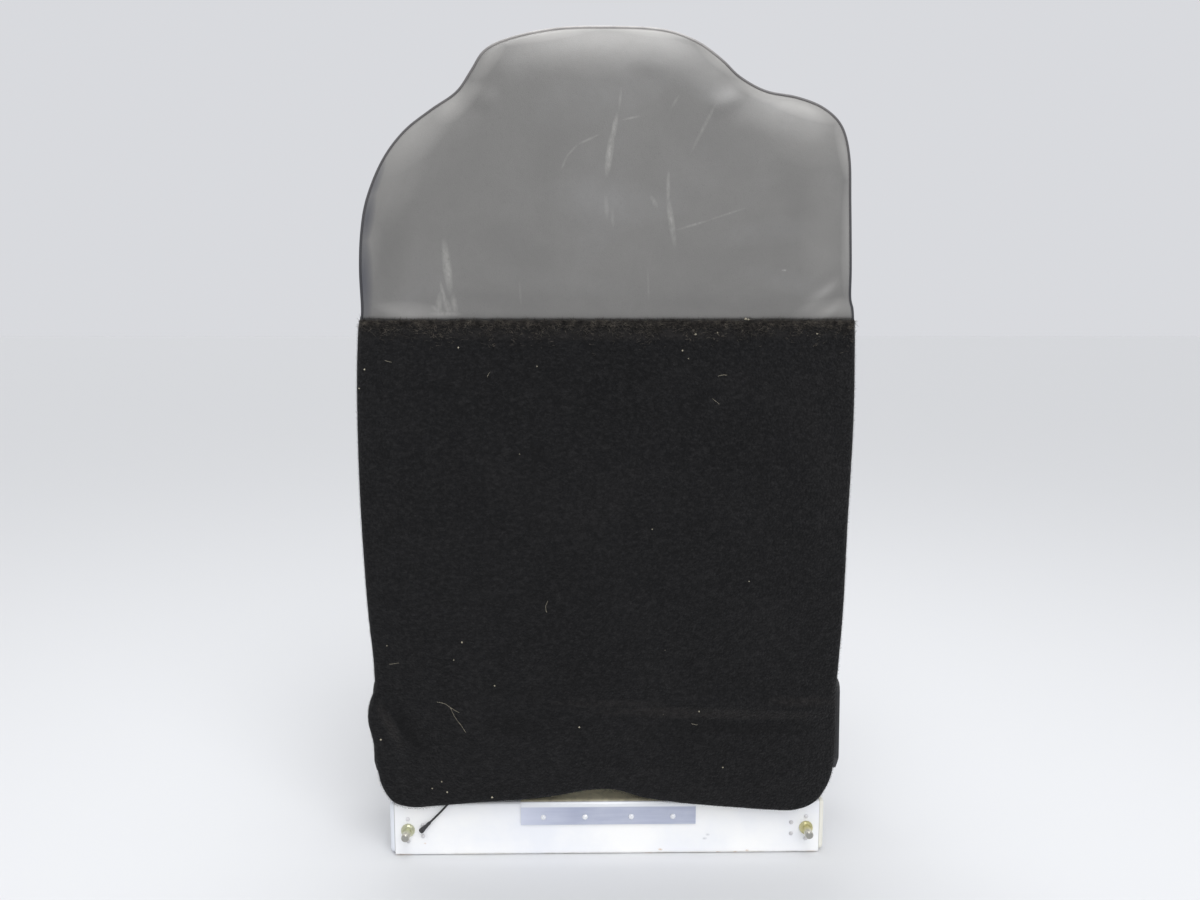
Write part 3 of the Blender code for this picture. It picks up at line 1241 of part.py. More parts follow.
clear_scene()
PARTS = new_collection("aircraft_passenger_seat")
CUTTERS = new_collection("cutters")

WHITE = new_material("white_paint", (246, 246, 244), 0.0, 0.4)
ALUMINIUM = new_material("aluminium", (186, 188, 190), 1.0, 0.35)
STEEL = new_material("zinc_plated_steel", (176, 176, 172), 1.0, 0.4)
SPRING_STEEL = new_material("spring_steel", (120, 122, 124), 1.0, 0.3)
CHROMATE = new_material("yellow_chromate", (168, 164, 128), 0.7, 0.42)
BRASS_PLATED = new_material("gold_plated_pin", (196, 190, 150), 1.0, 0.3)
BRONZE = new_material("bronze", (170, 128, 72), 1.0, 0.4)
LEATHER = new_material("grey_leather", (124, 123, 122), 0.0, 0.45)
CARPET = new_material("black_carpet", (34, 34, 38), 0.0, 0.95)
BLACK_PLASTIC = new_material("black_plastic", (26, 26, 28), 0.0, 0.5)
BLACK_CORD = new_material("black_cord", (18, 18, 20), 0.0, 0.4)
RED_PLASTIC = new_material("red_plastic", (160, 30, 26), 0.0, 0.45)
PLYWOOD = new_material("plywood", (176, 140, 96), 0.0, 0.7)

BASE = add_empty("base_datum", None, (0, REAR_FACE_Y, 0))
BACK_PIVOT = add_empty("back_pivot", BASE, (0, PIVOT_Y, PIVOT_Z))
BACK_LOW = add_empty("back_low_datum", BACK_PIVOT, (0, -PIVOT_Y, -PIVOT_Z))
PANEL = add_empty("back_panel_datum", BACK_PIVOT, (0, PANEL_FOOT_Y - PIVOT_Y, -PIVOT_Z), (RECLINE, 0, 0))
LATCH_AXIS = add_empty("latch_axis", BACK_LOW, (LATCH_X, LATCH_Y, 0))
HOOK_AXIS = add_empty("hook_pivot", BASE, (0, HOOK_Y, HOOK_Z))

build_rear_panel()
build_front_panel()
build_side_panel("side_panel_left", -1)
build_side_panel("side_panel_right", 1)
build_seat_pan()
build_pan_stiffeners()
build_striker_angle()
build_striker_rivets()
build_locating_pins()
build_pin_doublers()
build_pivot_bracket("pivot_bracket_left", -1)
build_pivot_bracket("pivot_bracket_right", 1)
build_bracket_bolts()
build_pivots()
build_arm_plates()
build_hinge_covers()
build_cushion()
build_rear_covers()
build_back_cushion()
build_back_frame()
build_flap()
build_latch()
build_pull_cord()
build_hold_down()
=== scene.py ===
"""Looks of the aircraft passenger seat: soft pieces, finishes, light and camera."""

import json
from functools import partial, reduce
from math import atan2, cos, hypot, pi, radians, sin

import bmesh
import bpy
import numpy as np
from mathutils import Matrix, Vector
from mathutils.bvhtree import BVHTree


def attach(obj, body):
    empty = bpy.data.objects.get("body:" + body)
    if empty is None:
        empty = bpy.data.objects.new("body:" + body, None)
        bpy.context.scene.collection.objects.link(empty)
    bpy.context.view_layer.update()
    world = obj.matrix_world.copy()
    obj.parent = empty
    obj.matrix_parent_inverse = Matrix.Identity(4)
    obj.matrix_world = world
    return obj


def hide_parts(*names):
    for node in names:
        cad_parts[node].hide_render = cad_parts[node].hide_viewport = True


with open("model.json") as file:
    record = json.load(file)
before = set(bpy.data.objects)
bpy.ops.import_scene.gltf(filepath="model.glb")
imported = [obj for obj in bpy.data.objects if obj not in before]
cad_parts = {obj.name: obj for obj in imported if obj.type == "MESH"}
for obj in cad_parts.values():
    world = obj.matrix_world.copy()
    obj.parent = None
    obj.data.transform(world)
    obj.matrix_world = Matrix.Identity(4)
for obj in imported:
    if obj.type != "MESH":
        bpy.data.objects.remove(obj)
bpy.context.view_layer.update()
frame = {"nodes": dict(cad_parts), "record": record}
NODES = frame["nodes"]
MM = 0.001
REAR_FACE_Y = -215.5 * MM

# Rear panel of the back: it leans by RECLINE and would meet the floor's plane at PANEL_FOOT_Y.
# Heights are in millimetres along it, but FLAP_HEM is how much lower the flap hangs than its solid.
RECLINE = radians(3)
PANEL_FOOT_Y = REAR_FACE_Y - 4.1 * MM
BACK_BOTTOM = 172
FLAP_HEM = 2
SEAM_HEIGHT = 519.5
FLAP_REAR = PANEL_FOOT_Y - (BACK_BOTTOM * sin(RECLINE) + 0.3) * MM

# Where finishes change, in millimetres: half the flat of the rear web and its inside, the top
# of the angle and the ends of the pins. FAR is past the part on every axis.
WEB_HALF = 207.3
WEB_INSIDE_Y = -205
ANGLE_TOP = 54.9
PIN_END_Y = -232.5
FAR = 400

# Camera solved from the photo: where it stands in metres, and its turn, tilt and width in degrees
EYE = (-20.56 * MM, -1107.83 * MM, 515.31 * MM)
EYE_TURN = 0.847
EYE_TILT = -7.402
EYE_ANGLE = 63.43

FLOOR_COLOUR = (0.72, 0.73, 0.75, 1)
BACKDROP_COLOUR = (0.69, 0.70, 0.73, 1)
SKY_COLOUR = (0.98, 0.985, 1.0, 1)

# Lamps as (name, kind, place, aim, a sun's degrees or a box's side in metres, power)
LAMPS = (
    ("key", "SUN", (0.5, -1.5, 1.25), (0, 0, 0), 45, 1.15),
    ("opposite", "SUN", (-0.5, 1.4, 1.3), (0, 0, 0), 60, 0.5),
    ("soft_box", "AREA", (0.1, -1.0, 1.9), (0, -0.24, 0.72), 0.9, 10),
    ("rim", "AREA", (0, -0.05, 1.75), (0, -0.24, 0.7), 0.9, 6),
)

# Outlines in millimetres, as (x, height along the panel) or (x, z)
BACK_OUTLINE = [
    (-220, 172), (-220.5, 205), (-224, 262), (-226.2, 357), (-225, 448), (-221.5, 508),
    (-218.2, 526), (-218.4, 562), (-216, 594), (-210, 622.5), (-195.5, 654.5), (-176, 679),
    (-152, 697), (-130, 711.5), (-117, 729), (-105, 745.5), (-82, 755.5), (-44, 762.8), (0, 764.3),
    (44, 762.3), (73, 753.5), (95, 739), (111.5, 724.5), (134, 713), (161, 708), (184, 699.5),
    (200.5, 684.5), (208.3, 659), (211, 620), (214, 565), (214.8, 538), (218.4, 518), (221.5, 430),
    (220.6, 330), (220.3, 250), (217.3, 172),
]
FLAP_OUTLINE = [
    (-221, 171.5), (-226, 158), (-227, 143), (-223.5, 122), (-220.5, 98), (-216.5, 79), (-206, 62),
    (-187, 56), (-160, 58.5), (-132, 61.5), (-103, 63.5), (-75, 65), (-46, 69), (-22, 73.2),
    (-4, 74), (10, 72), (34, 64.5), (64, 60.5), (98, 57.3), (127, 54.6), (156, 52.5), (182, 52.8),
    (200, 60.5), (211, 76), (217, 96), (218.3, 125), (217.8, 150), (217.3, 171.5),
]
BACK_SEAMS = (
    [(-146, 150), (-150, 260), (-148, 400), (-138, 520), (-105, 625), (-50, 667), (0, 673),
     (50, 667), (105, 625), (138, 520), (148, 400), (150, 260), (146, 150)],
    [(-138, 518), (138, 518)],
    [(-150, 322), (150, 322)],
)

# Seat cushion from above, as (x, y from the rear face), with its heights
SEAT_WIDTH = 440
SEAT_FRONT_Y = 475
SEAT_REAR_Y = 120
SEAT_NECK_Y = 62
SEAT_NECK_HALF = 180
SEAT_BOTTOM = 62.1
SEAT_REAR_TOP = 122
SEAT_FRONT_TOP = 140
SEAT_SEAMS = (
    [(-148, 40), (-148, 500)], [(148, 40), (148, 500)],
    [(-148, 205), (148, 205)], [(-148, 330), (148, 330)],
)

# Front of the back pad, as (height, depth from the panel)
BACK_SECTION = [(172, 96), (260, 106), (400, 96), (540, 80), (620, 78), (690, 84), (764, 66)]

# Folds of the leather and the carpet, as (start, end, width, depth), in (x, height) millimetres
LEATHER_FOLDS = [
    ((208, 552), (170, 524), 5, -1.5), ((203, 560), (172, 538), 5, 0.9),
    ((211, 536), (190, 521), 3, -1.0), ((-214, 534), (-184, 524), 4, -1.2),
    ((-150, 537), (-60, 529), 6, 0.6), ((20, 530), (150, 527), 6, 0.5),
    ((118, 712), (86, 696), 7, -1.3), ((-124, 712), (-96, 700), 7, -1.2),
    ((200, 690), (203, 560), 5, -0.7),
]
CARPET_FOLDS = [
    ((-216, 166), (-180, 106), 9, -3.2), ((-204, 168), (-166, 112), 7, 2.0),
    ((60, 163), (222, 152), 8, -2.4), ((40, 146), (222, 136), 9, 1.8),
    ((-226, 158), (-226, 126), 10, -2.2), ((-60, 176), (90, 178), 5, -1.0),
]

# Distances from the sides and from the hem at which a sheet's mesh has lines
EDGE_STEPS = (0, 0.5, 1.2, 2.2, 3.5, 5.2, 7.4, 10.2, 13.5)
HEM_STEPS = (0, 0.6, 1.5, 2.8, 4.6, 7)

# Marks as (start, end, half width, strength), in (x, height) millimetres: scuffs of wear, lighter
# and darker patches, painted highlights and painted shade
SCUFFS = [
    ((10, 713), (8, 694), 1.4, 0.4), ((6.5, 692), (1.5, 666), 2.6, 0.6),
    ((2.4, 676), (-2.2, 642), 3.6, 0.75), ((-3, 624), (-1.9, 606), 2.4, 0.4),
    ((2.8, 614), (3.4, 598), 1.8, 0.3), ((-41, 646), (-36, 657), 1.3, 0.45),
    ((-37, 656), (-27, 666.5), 1.2, 0.5), ((-28, 666), (-8, 675), 1.2, 0.5),
    ((10, 686.5), (27, 690), 1.2, 0.4), ((90.5, 701), (69.5, 660), 1.9, 0.5),
    ((59, 707), (52, 696), 1.5, 0.3), ((50.7, 646), (50.5, 616), 2.0, 0.5),
    ((50.2, 624), (57, 582), 3.2, 0.6), ((57, 595.5), (88, 604.5), 1.3, 0.45),
    ((84, 603.5), (118, 614.5), 1.1, 0.4), ((36.5, 623), (40.5, 616), 2.4, 0.5),
    ((-142.5, 586), (-138.5, 543), 4.4, 0.75), ((-146.5, 551), (-142, 528), 2.0, 0.7),
    ((-156, 524), (-130, 524), 2.6, 0.6), ((-147, 541), (-150, 524), 3.4, 0.55),
    ((-144, 538), (-139, 524), 3.6, 0.5), ((-136, 540), (-134, 524), 3.2, 0.5),
    ((-154, 530), (-147, 526), 2.6, 0.45), ((33.5, 563), (35, 535), 1.3, 0.25),
    ((-78, 552), (-77, 532), 1.3, 0.25), ((151.2, 561.7), (154.2, 561.7), 1.0, 0.95),
]
# Lighter patches on the rear leather
LIGHTER_PATCHES = [
    ((-40, 625), (40, 615), 22, 0.35), ((60, 720), (110, 700), 12, 0.25),
    ((-60, 690), (60, 735), 26, 0.25), ((120, 560), (190, 545), 12, 0.22),
    ((100, 590), (180, 600), 14, 0.2), ((-120, 560), (20, 545), 12, 0.15),
]
# Painted highlights along the rims and shoulders of the rear leather, where light from above
# catches its rolled edge
PAINTED_RIM_HIGHLIGHTS = [
    ((-200, 640), (-140, 706), 24, 0.34), ((-152, 686), (-118, 712), 14, 0.4),
    ((-206, 610), (-170, 676), 30, 0.16), ((-112, 724), (-92, 752), 10, 0.3),
    ((-100, 752), (0, 766), 10, 0.5), ((-20, 767), (80, 757), 9, 0.5),
    ((-60, 752), (60, 752), 34, 0.22), ((76, 752), (118, 722), 10, 0.45),
    ((112, 722), (150, 706), 12, 0.45), ((140, 706), (196, 690), 12, 0.5),
    ((150, 684), (196, 668), 30, 0.15), ((196, 688), (210, 640), 9, 0.4),
    ((208, 640), (210, 545), 8, 0.3), ((186, 640), (188, 545), 24, 0.1),
    ((-212, 560), (-204, 610), 14, 0.14), ((-205, 524), (-150, 522), 13, 0.28),
    ((172, 524), (214, 530), 12, 0.26),
]
# Painted shade down the sides of the rear leather, dark and bluish where the edge turns away from
# the light
PAINTED_SIDE_SHADE = [
    ((-217.5, 514), (-215, 590), 11, 1.0), ((-215, 585), (-206, 628), 8.5, 0.85),
    ((-209, 618), (-194, 655), 5.5, 0.65), ((216, 560), (213, 640), 4.5, 0.5),
    ((219, 520), (216, 560), 5, 0.55),
]
# Darker patches on the rear leather
DARKER_PATCHES = [
    ((20, 728), (44, 726), 9, 0.5), ((-100, 590), (-60, 560), 24, 0.4),
    ((60, 690), (110, 650), 26, 0.4), ((-60, 650), (-20, 700), 26, 0.35),
    ((150, 640), (196, 590), 22, 0.35), ((-190, 560), (-180, 610), 18, 0.4),
]
BASE_STAINS = [
    ((50.5, 4.6), (53, 4.4), 1.3, 0.8), ((36, 0.8), (44, 0.6), 1.0, 0.7),
    ((107, 1.2), (111, 1), 1.2, 0.6), ((124, 0.9), (127, 0.8), 1.4, 0.8),
    ((136, 2.9), (138.4, 2.7), 1.2, 0.7), ((-208, 0.6), (-190, 0.8), 1.3, 0.9),
    ((-178.5, 12.8), (-177.6, 12.6), 1.0, 0.5), ((196, 1), (206, 1), 1.2, 0.5),
]
BASE_SMUDGES = [
    ((97, 19.7), (99, 19.6), 1.6, 0.55), ((94, 15.6), (96.4, 15.7), 1.5, 0.5),
    ((-181, 27), (-177, 17), 4, 0.14),
]

# Painted shade where the flap's pile folds, and painted highlights where the pile catches the light
PAINTED_FOLD_SHADE = [
    ((-208, 164), (-176, 112), 7, 0.55), ((-112, 141), (-72, 139), 13, 0.5),
    ((30, 138), (205, 134), 9, 0.3), ((-222, 176), (-196, 172), 4, 0.4),
    ((-130, 172), (40, 176), 7, 0.2),
]
PAINTED_PILE_HIGHLIGHTS = [
    ((-30, 152), (216, 147), 7, 0.4), ((-216, 160), (-196, 118), 7, 0.4),
    ((150, 163), (214, 160), 6, 0.3), ((-200, 505), (190, 506), 6, 0.3),
    ((-60, 161), (60, 158), 5, 0.25),
]

# Hairs as routes and specks of lint with their half size, in (x, height) millimetres
HAIRS = [
    [(-160.8, 163), (-153, 161), (-148.3, 157.3), (-140.2, 152.3)],
    [(-148.3, 157.3), (-144, 147.6), (-138, 139), (-133.7, 131.6)],
    [(-105.2, 473.7), (-106.6, 471.8), (-107.6, 469.6)], [(92.6, 450), (95, 448), (98.6, 445)],
    [(97.1, 470), (101, 471.2), (104.6, 470.9)], [(-204, 200.8), (-195, 202)],
    [(79, 140), (84.5, 138.8)], [(-197, 484), (-191.5, 482.6)],
    [(-56, 262), (-58, 256), (-57, 251)],
]
SPECKS = [
    (-27.1, 137, 1.2), (86.1, 152, 0.9), (-214.6, 126.2, 1.1), (-110.5, 67.5, 1.1),
    (-153, 73.4, 1.0), (-106.6, 179, 0.9), (-167.3, 77, 0.7), (-158, 83.8, 0.7), (109.6, 96.3, 0.8),
    (-205.8, 219, 0.7), (-144, 204.6, 0.7), (-215.4, 476, 1.0), (-132.5, 495.5, 1.0),
    (-63.5, 479, 0.7), (65, 492.5, 1.0), (76.5, 507, 1.1), (183.7, 507.6, 0.8), (120.2, 520.2, 1.3),
    (122.4, 519.9, 1.2), (70.3, 485.6, 0.6), (95.7, 508.5, 0.8), (-221, 459.4, 0.8),
    (-136, 222, 0.9), (40, 330, 0.6), (130, 280, 0.6), (-80, 400, 0.6),
]

# Route of the pull cord, as (x, y from the rear face, z), and its radius
CORD_ROUTE = [
    (-132.2, 14.9, 88.2), (-136, 12.6, 83), (-140.5, 8, 76), (-145, 3, 69), (-149.5, -1, 62),
    (-154, -3.1, 55.5), (-159.5, -3.7, 49.3), (-166, -3.6, 42.5), (-172, -3.5, 36.4),
]
CORD_RADIUS = 1


# Shapes


def smooth(points, steps):
    """A Catmull-Rom curve through the points, with that many steps for each span."""
    fixed = [np.array(p, float) for p in points]
    ends = [2 * fixed[0] - fixed[1], *fixed, 2 * fixed[-1] - fixed[-2]]
    found = []
    for a, b, c, d in zip(ends, ends[1:], ends[2:], ends[3:]):
        for i in range(steps):
            t = i / steps
            found.append(
                0.5 * (2 * b + (c - a) * t + (2 * a - 5 * b + 4 * c - d) * t * t
                       + (3 * b - a - 3 * c + d) * t ** 3)
            )
    found.append(fixed[-1])
    return np.array(found)


def lengths_along(points):
    """The length of a polyline up to each of its points."""
    return np.concatenate([[0], np.cumsum(np.linalg.norm(np.diff(points, axis=0), axis=1))])


def interpolated(at, along, values):
    """The values at a length or lengths, from those at the lengths along a line."""
    return np.stack([np.interp(at, along, column) for column in np.transpose(values)], axis=-1)


def resample(points, shares):
    """Points at the given shares of a polyline's length."""
    along = lengths_along(points)
    return interpolated(shares, along / along[-1], points)


def graded(length, edge, pitch):
    """Shares of a length that lie close together near both ends and a pitch apart between them."""
    edge = np.asarray(edge, float)
    middle = length - 2 * edge[-1]
    count = max(2, int(round(middle / pitch)))
    inner = edge[-1] + middle * np.arange(1, count) / count
    return np.concatenate([edge, inner, length - edge[::-1]]) / length


def coons(bottom, top, left, right, us, vs):
    """A grid between four curves that share their corners, at shares of the curves' lengths."""
    bottom, top = resample(bottom, us), resample(top, us)
    left, right = resample(left, vs), resample(right, vs)
    u = lengths_along(bottom)[None, :, None]
    v = lengths_along(left)[:, None, None]
    u, v = u / u.max(), v / v.max()
    across = (1 - v) * bottom[None] + v * top[None]
    along = (1 - u) * left[:, None] + u * right[:, None]
    corners = (
        (1 - u) * (1 - v) * bottom[0] + u * (1 - v) * bottom[-1]
        + (1 - u) * v * top[0] + u * v * top[-1]
    )
    return across + along - corners


def distance_to(points, *lines):
    """Distance of each point from the nearest of some polylines."""
    flat = points.reshape(-1, 2)
    best = np.full(len(flat), 1e9)
    for line in lines:
        for a, b in zip(line, line[1:]):
            step = b - a
            size = step @ step
            if size > 1e-12:
                share = np.clip((flat - a) @ step / size, 0, 1)
                best = np.minimum(best, np.linalg.norm(flat - a - share[:, None] * step, axis=1))
    return best.reshape(points.shape[:-1])


def unit(vectors):
    """One vector or several, made 1 long."""
    return vectors / np.linalg.norm(vectors, axis=-1, keepdims=True)


def roll(gap, radius):
    """How far a rounded edge falls back at a distance from the outline."""
    inside = np.clip(radius - gap, 0, radius)
    return radius - np.sqrt(np.maximum(radius ** 2 - inside ** 2, 0))


def on_panel(x, depth, height):
    """Millimetres on the leaning panel as a place in metres."""
    x, depth, height = np.broadcast_arrays(x, depth, height)
    y = PANEL_FOOT_Y / MM - height * sin(RECLINE) + depth * cos(RECLINE)
    z = height * cos(RECLINE) + depth * sin(RECLINE)
    return np.stack([x, y, z], axis=-1) * MM


def add_object(name, data):
    item = bpy.data.objects.new(name, data)
    bpy.context.scene.collection.objects.link(item)
    return item


def add_mesh(name, points, faces, material, smooth_faces=True):
    mesh = bpy.data.meshes.new(name)
    mesh.from_pydata([tuple(p) for p in points], [], faces)
    mesh.materials.append(material)
    mesh.polygons.foreach_set("use_smooth", [smooth_faces] * len(mesh.polygons))
    mesh.update()
    return add_object(name, mesh)


def bridge(start, sides, spans, closed=False):
    """Faces between loops of points that follow one another, and both ends where it is open."""
    faces = []
    loops = spans if closed else spans + 1
    for k in range(spans):
        one, two = start + k * sides, start + (k + 1) % loops * sides
        for i in range(sides):
            j = (i + 1) % sides
            faces.append((one + i, one + j, two + j, two + i))
    if not closed:
        last = start + spans * sides
        faces.append(tuple(start + i for i in range(sides - 1, -1, -1)))
        faces.append(tuple(last + i for i in range(sides)))
    return faces


def face_outward(item):
    """The item's many-sided ends split into triangles, and all its faces turned outward."""
    bm = bmesh.new()
    bm.from_mesh(item.data)
    bmesh.ops.triangulate(bm, faces=[f for f in bm.faces if len(f.verts) > 4])
    bmesh.ops.recalc_face_normals(bm, faces=bm.faces)
    bm.to_mesh(item.data)
    bm.free()


def shell(name, rear, front, material, body):
    """A closed piece between two grids of places with the same shape."""
    points = [*rear.reshape(-1, 3), *front.reshape(-1, 3)]
    start = len(points) // 2
    at = np.arange(start).reshape(rear.shape[:2])
    cells = np.stack([at[:-1, :-1], at[:-1, 1:], at[1:, 1:], at[1:, :-1]], axis=-1)
    faces = cells.reshape(-1, 4).tolist()
    faces += [(start + a, start + d, start + c, start + b) for a, b, c, d in faces]
    edge = [int(k) for k in (*at[0], *at[1:, -1], *at[-1, -2::-1], *at[-2:0:-1, 0])]
    faces += [(b, a, start + a, start + b) for a, b in zip(edge, edge[1:] + edge[:1])]
    item = add_mesh(name, points, faces, material)
    face_outward(item)
    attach(item, body)
    return item


def tube(name, points, radius, material, body, closed=False):
    """A round welt along places in metres."""
    sides = 10
    count = len(points)
    before = np.roll(points, 1, axis=0)
    after = np.roll(points, -1, axis=0)
    if not closed:
        before[0] = points[0]
        after[-1] = points[-1]
    along = unit(after - before)
    side = unit(np.cross(along, (0.0, 1.0, 0.05)))
    up = np.cross(side, along)
    turns = [2 * pi * i / sides for i in range(sides)]
    around = [
        points[k] + radius * (cos(a) * side[k] + sin(a) * up[k])
        for k in range(count) for a in turns
    ]
    faces = bridge(0, sides, count if closed else count - 1, closed)
    item = add_mesh(name, around, faces, material)
    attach(item, body)
    return item


# Finishes


class Nodes:
    """A node tree whose nodes are added one at a time."""

    def __init__(self, tree):
        self.tree = tree

    def fill(self, socket, value):
        """A socket takes another node's output, a colour out of 255 or a plain value."""
        if isinstance(value, bpy.types.NodeSocket):
            self.tree.links.new(value, socket)
        elif socket.type == "RGBA":
            socket.default_value = (*map(linear, value), 1)
        else:
            socket.default_value = value

    def node(self, kind, inputs=None, **settings):
        """A new node with its settings, and its inputs filled by name or number."""
        item = self.tree.nodes.new(kind)
        for name, value in settings.items():
            setattr(item, name, value)
        for name, value in (inputs or {}).items():
            self.fill(item.inputs[name], value)
        return item

    def maths(self, operation, one, two):
        return self.node("ShaderNodeMath", {0: one, 1: two}, operation=operation).outputs[0]

    def times(self, *masks):
        return reduce(partial(self.maths, "MULTIPLY"), masks)

    def strongest(self, masks):
        return reduce(partial(self.maths, "MAXIMUM"), masks)


class Finish(Nodes):
    """A material, whose textures lie in the part's place at rest, in metres."""

    def __init__(self, name, roughness=0.5, metallic=0.0):
        self.material = bpy.data.materials.new(name)
        self.material.use_nodes = True
        super().__init__(self.material.node_tree)
        self.shader = self.tree.nodes["Principled BSDF"]
        self.set("Roughness", roughness)
        self.set("Metallic", metallic)
        self.place = self.node("ShaderNodeTexCoord").outputs["Object"]

    def set(self, name, value):
        self.fill(self.shader.inputs[name], value)

    def colour(self, source):
        self.set("Base Color", source)

    def coat(self, weight, roughness):
        self.set("Coat Weight", weight)
        self.set("Coat Roughness", roughness)

    def stretched(self, scale):
        if scale is None:
            return self.place
        inputs = {"Scale": scale, "Vector": self.place}
        return self.node("ShaderNodeMapping", inputs).outputs["Vector"]

    def noise(self, scale, detail, rough, stretch=None, distortion=0.0):
        return self.node("ShaderNodeTexNoise", {
            "Scale": scale, "Detail": detail, "Roughness": rough, "Distortion": distortion,
            "Vector": self.stretched(stretch),
        }).outputs["Fac"]

    def cells(self, scale, feature="F1"):
        inputs = {"Scale": scale, "Vector": self.place}
        return self.node("ShaderNodeTexVoronoi", inputs, feature=feature).outputs["Distance"]

    def ramp(self, source, *stops):
        """The source through stops: a place, and its level up to 1 or its colour out of 255."""
        item = self.node("ShaderNodeValToRGB", {"Fac": source})
        elements = item.color_ramp.elements
        while len(elements) < len(stops):
            elements.new(0.5)
        for element, (place, value) in zip(elements, stops):
            element.position = place
            level = isinstance(value, (int, float))
            element.color = (value, value, value, 1) if level else (*map(linear, value), 1)
        return item.outputs["Color"]

    def mix(self, share, one, two):
        return self.node("ShaderNodeMix", {0: share, 6: one, 7: two}, data_type="RGBA").outputs[2]

    def stroke(self, start, end, width, strength):
        """A soft mark between two (x, z) places in millimetres, much the same at every depth."""
        run, rise = end[0] - start[0], end[1] - start[1]
        deep = 10
        item = self.node("ShaderNodeMapping", {
            "Location": ((start[0] + end[0]) * MM / 2, 0, (start[1] + end[1]) * MM / 2),
            "Rotation": (0, -atan2(rise, run), 0),
            "Scale": (hypot(run, rise) * MM / 2 + width * MM, deep, width * MM),
            "Vector": self.place,
        }, vector_type="TEXTURE")
        away = self.node("ShaderNodeVectorMath", {0: item.outputs["Vector"]}, operation="LENGTH")
        return self.ramp(away.outputs["Value"], (0.1, strength), (0.7, 0.45 * strength), (1, 0.0))

    def marks(self, table):
        """Several strokes, each with its start, end, half width and strength."""
        return self.strongest([self.stroke(*mark) for mark in table])

    def band(self, axis, low, high, feather):
        """1 between two places along an axis, in millimetres."""
        along = self.node("ShaderNodeSeparateXYZ", {0: self.place}).outputs[axis]
        return self.times(
            self.rise(along, (low - feather) * MM, (low + feather) * MM),
            self.rise(along, (high + feather) * MM, (high - feather) * MM))

    def rise(self, source, start, end):
        """0 before the start and 1 past the end."""
        inputs = {"Value": source, "From Min": start, "From Max": end}
        return self.node("ShaderNodeMapRange", inputs).outputs[0]

    def bump(self, height, strength, distance, under=None):
        inputs = {"Strength": strength, "Distance": distance, "Height": height}
        if under is not None:
            inputs["Normal"] = under
        return self.node("ShaderNodeBump", inputs).outputs["Normal"]

    def normal(self, *bump):
        self.set("Normal", self.bump(*bump))


def linear(value):
    """An sRGB level out of 255 as the linear share that shaders take."""
    share = value / 255
    if share <= 0.04045:
        return share / 12.92
    return ((share + 0.055) / 1.055) ** 2.4


def shade(colour, share, rise=0):
    """A colour made darker or lighter."""
    return tuple(np.minimum(255, np.multiply(colour, share) + rise))


def white_paint():
    """White enamel: faint texture, grime at the lower edge, a painted reflection tint on the bent
    ends with a painted shade line where they bend, and small stains.
    """
    f = Finish("white_enamel")
    tint = f.ramp(f.noise(9, 5, 0.6), (0.35, (240, 242, 247)), (0.6, (252, 252, 251)))
    low = f.times(f.band("Z", -5, 1.6, 1.4), f.ramp(f.noise(24, 6, 0.7), (0.38, 0.0), (0.62, 1.0)))
    skin = f.mix(f.times(low, 0.6), tint, (176, 164, 132))
    specks = f.ramp(f.cells(95), (0.045, 1.0), (0.09, 0.0))
    rare = f.ramp(f.noise(14, 2, 0.5), (0.62, 0.0), (0.70, 1.0))
    skin = f.mix(f.times(specks, rare, 0.4), skin, (170, 160, 138))
    broken = f.ramp(f.noise(300, 4, 0.7), (0.35, 0.2), (0.6, 1.0))
    rear = f.band("Y", -FAR, WEB_INSIDE_Y, 0.5)
    skin = f.mix(f.times(f.marks(BASE_STAINS), broken, rear), skin, (196, 150, 92))
    skin = f.mix(f.times(f.marks(BASE_SMUDGES), broken, rear), skin, (128, 132, 146))
    # Painted reflection on the bent ends: slightly darker, bluish on the left and warm on the right
    skin = f.mix(f.times(f.band("X", -FAR, -WEB_HALF, 0.4), rear, 0.9), skin, (230, 234, 242))
    skin = f.mix(f.times(f.band("X", WEB_HALF, FAR, 0.4), rear, 0.9), skin, (230, 228, 216))
    # Painted shade along the line where the flat turns into each bend
    bend_line_shade = f.maths(
        "ADD", f.band("X", -WEB_HALF - 0.6, -WEB_HALF + 0.4, 0.15),
        f.band("X", WEB_HALF - 0.4, WEB_HALF + 0.6, 0.15))
    f.colour(f.mix(f.times(bend_line_shade, rear, 0.7), skin, (166, 164, 158)))
    f.set("Roughness", f.ramp(f.noise(40, 4, 0.6), (0.3, 0.34), (0.75, 0.52)))
    f.normal(f.noise(520, 2, 0.5), 0.12, 0.0004)
    f.coat(0.25, 0.25)
    return f.material


def angle_metal():
    """The striker angle: dull aluminium, paler on its left, olive on top painted much paler as
    painted light under the flap, and a painted highlight along the bend.
    """
    f = Finish("angle_two_tone", metallic=0.35)
    fine = f.noise(420, 4, 0.6, stretch=(0.06, 1, 1))
    grey = f.ramp(f.noise(16, 4, 0.6), (0.3, (170, 177, 202)), (0.7, (194, 199, 216)))
    grey = f.mix(0.25, grey, f.ramp(fine, (0.3, (152, 160, 184)), (0.7, (214, 217, 229))))
    grey = f.mix(f.times(f.band("X", -110, -58, 26), 0.65), grey, (226, 230, 244))
    cloud = f.noise(42, 5, 0.65, distortion=1.1)
    # Olive top, its colour raised far above the olive's own to stand in for light where the flap
    # shades it: painted light
    olive = f.ramp(cloud, (0.3, (222, 214, 184)), (0.55, (242, 234, 204)), (0.8, (250, 244, 214)))
    olive = f.mix(f.ramp(f.noise(110, 4, 0.6), (0.5, 0.0), (0.75, 0.5)), olive, (150, 144, 120))
    # Painted highlight along the bend of the angle
    worn = f.mix(f.band("Z", ANGLE_TOP - 4.9, ANGLE_TOP - 0.3, 0.5), grey, (236, 238, 242))
    f.colour(f.mix(f.band("Z", ANGLE_TOP, FAR, 0.4), worn, olive))
    f.set("Roughness", f.ramp(fine, (0.25, 0.42), (0.8, 0.62)))
    f.normal(fine, 0.15, 0.0003)
    return f.material


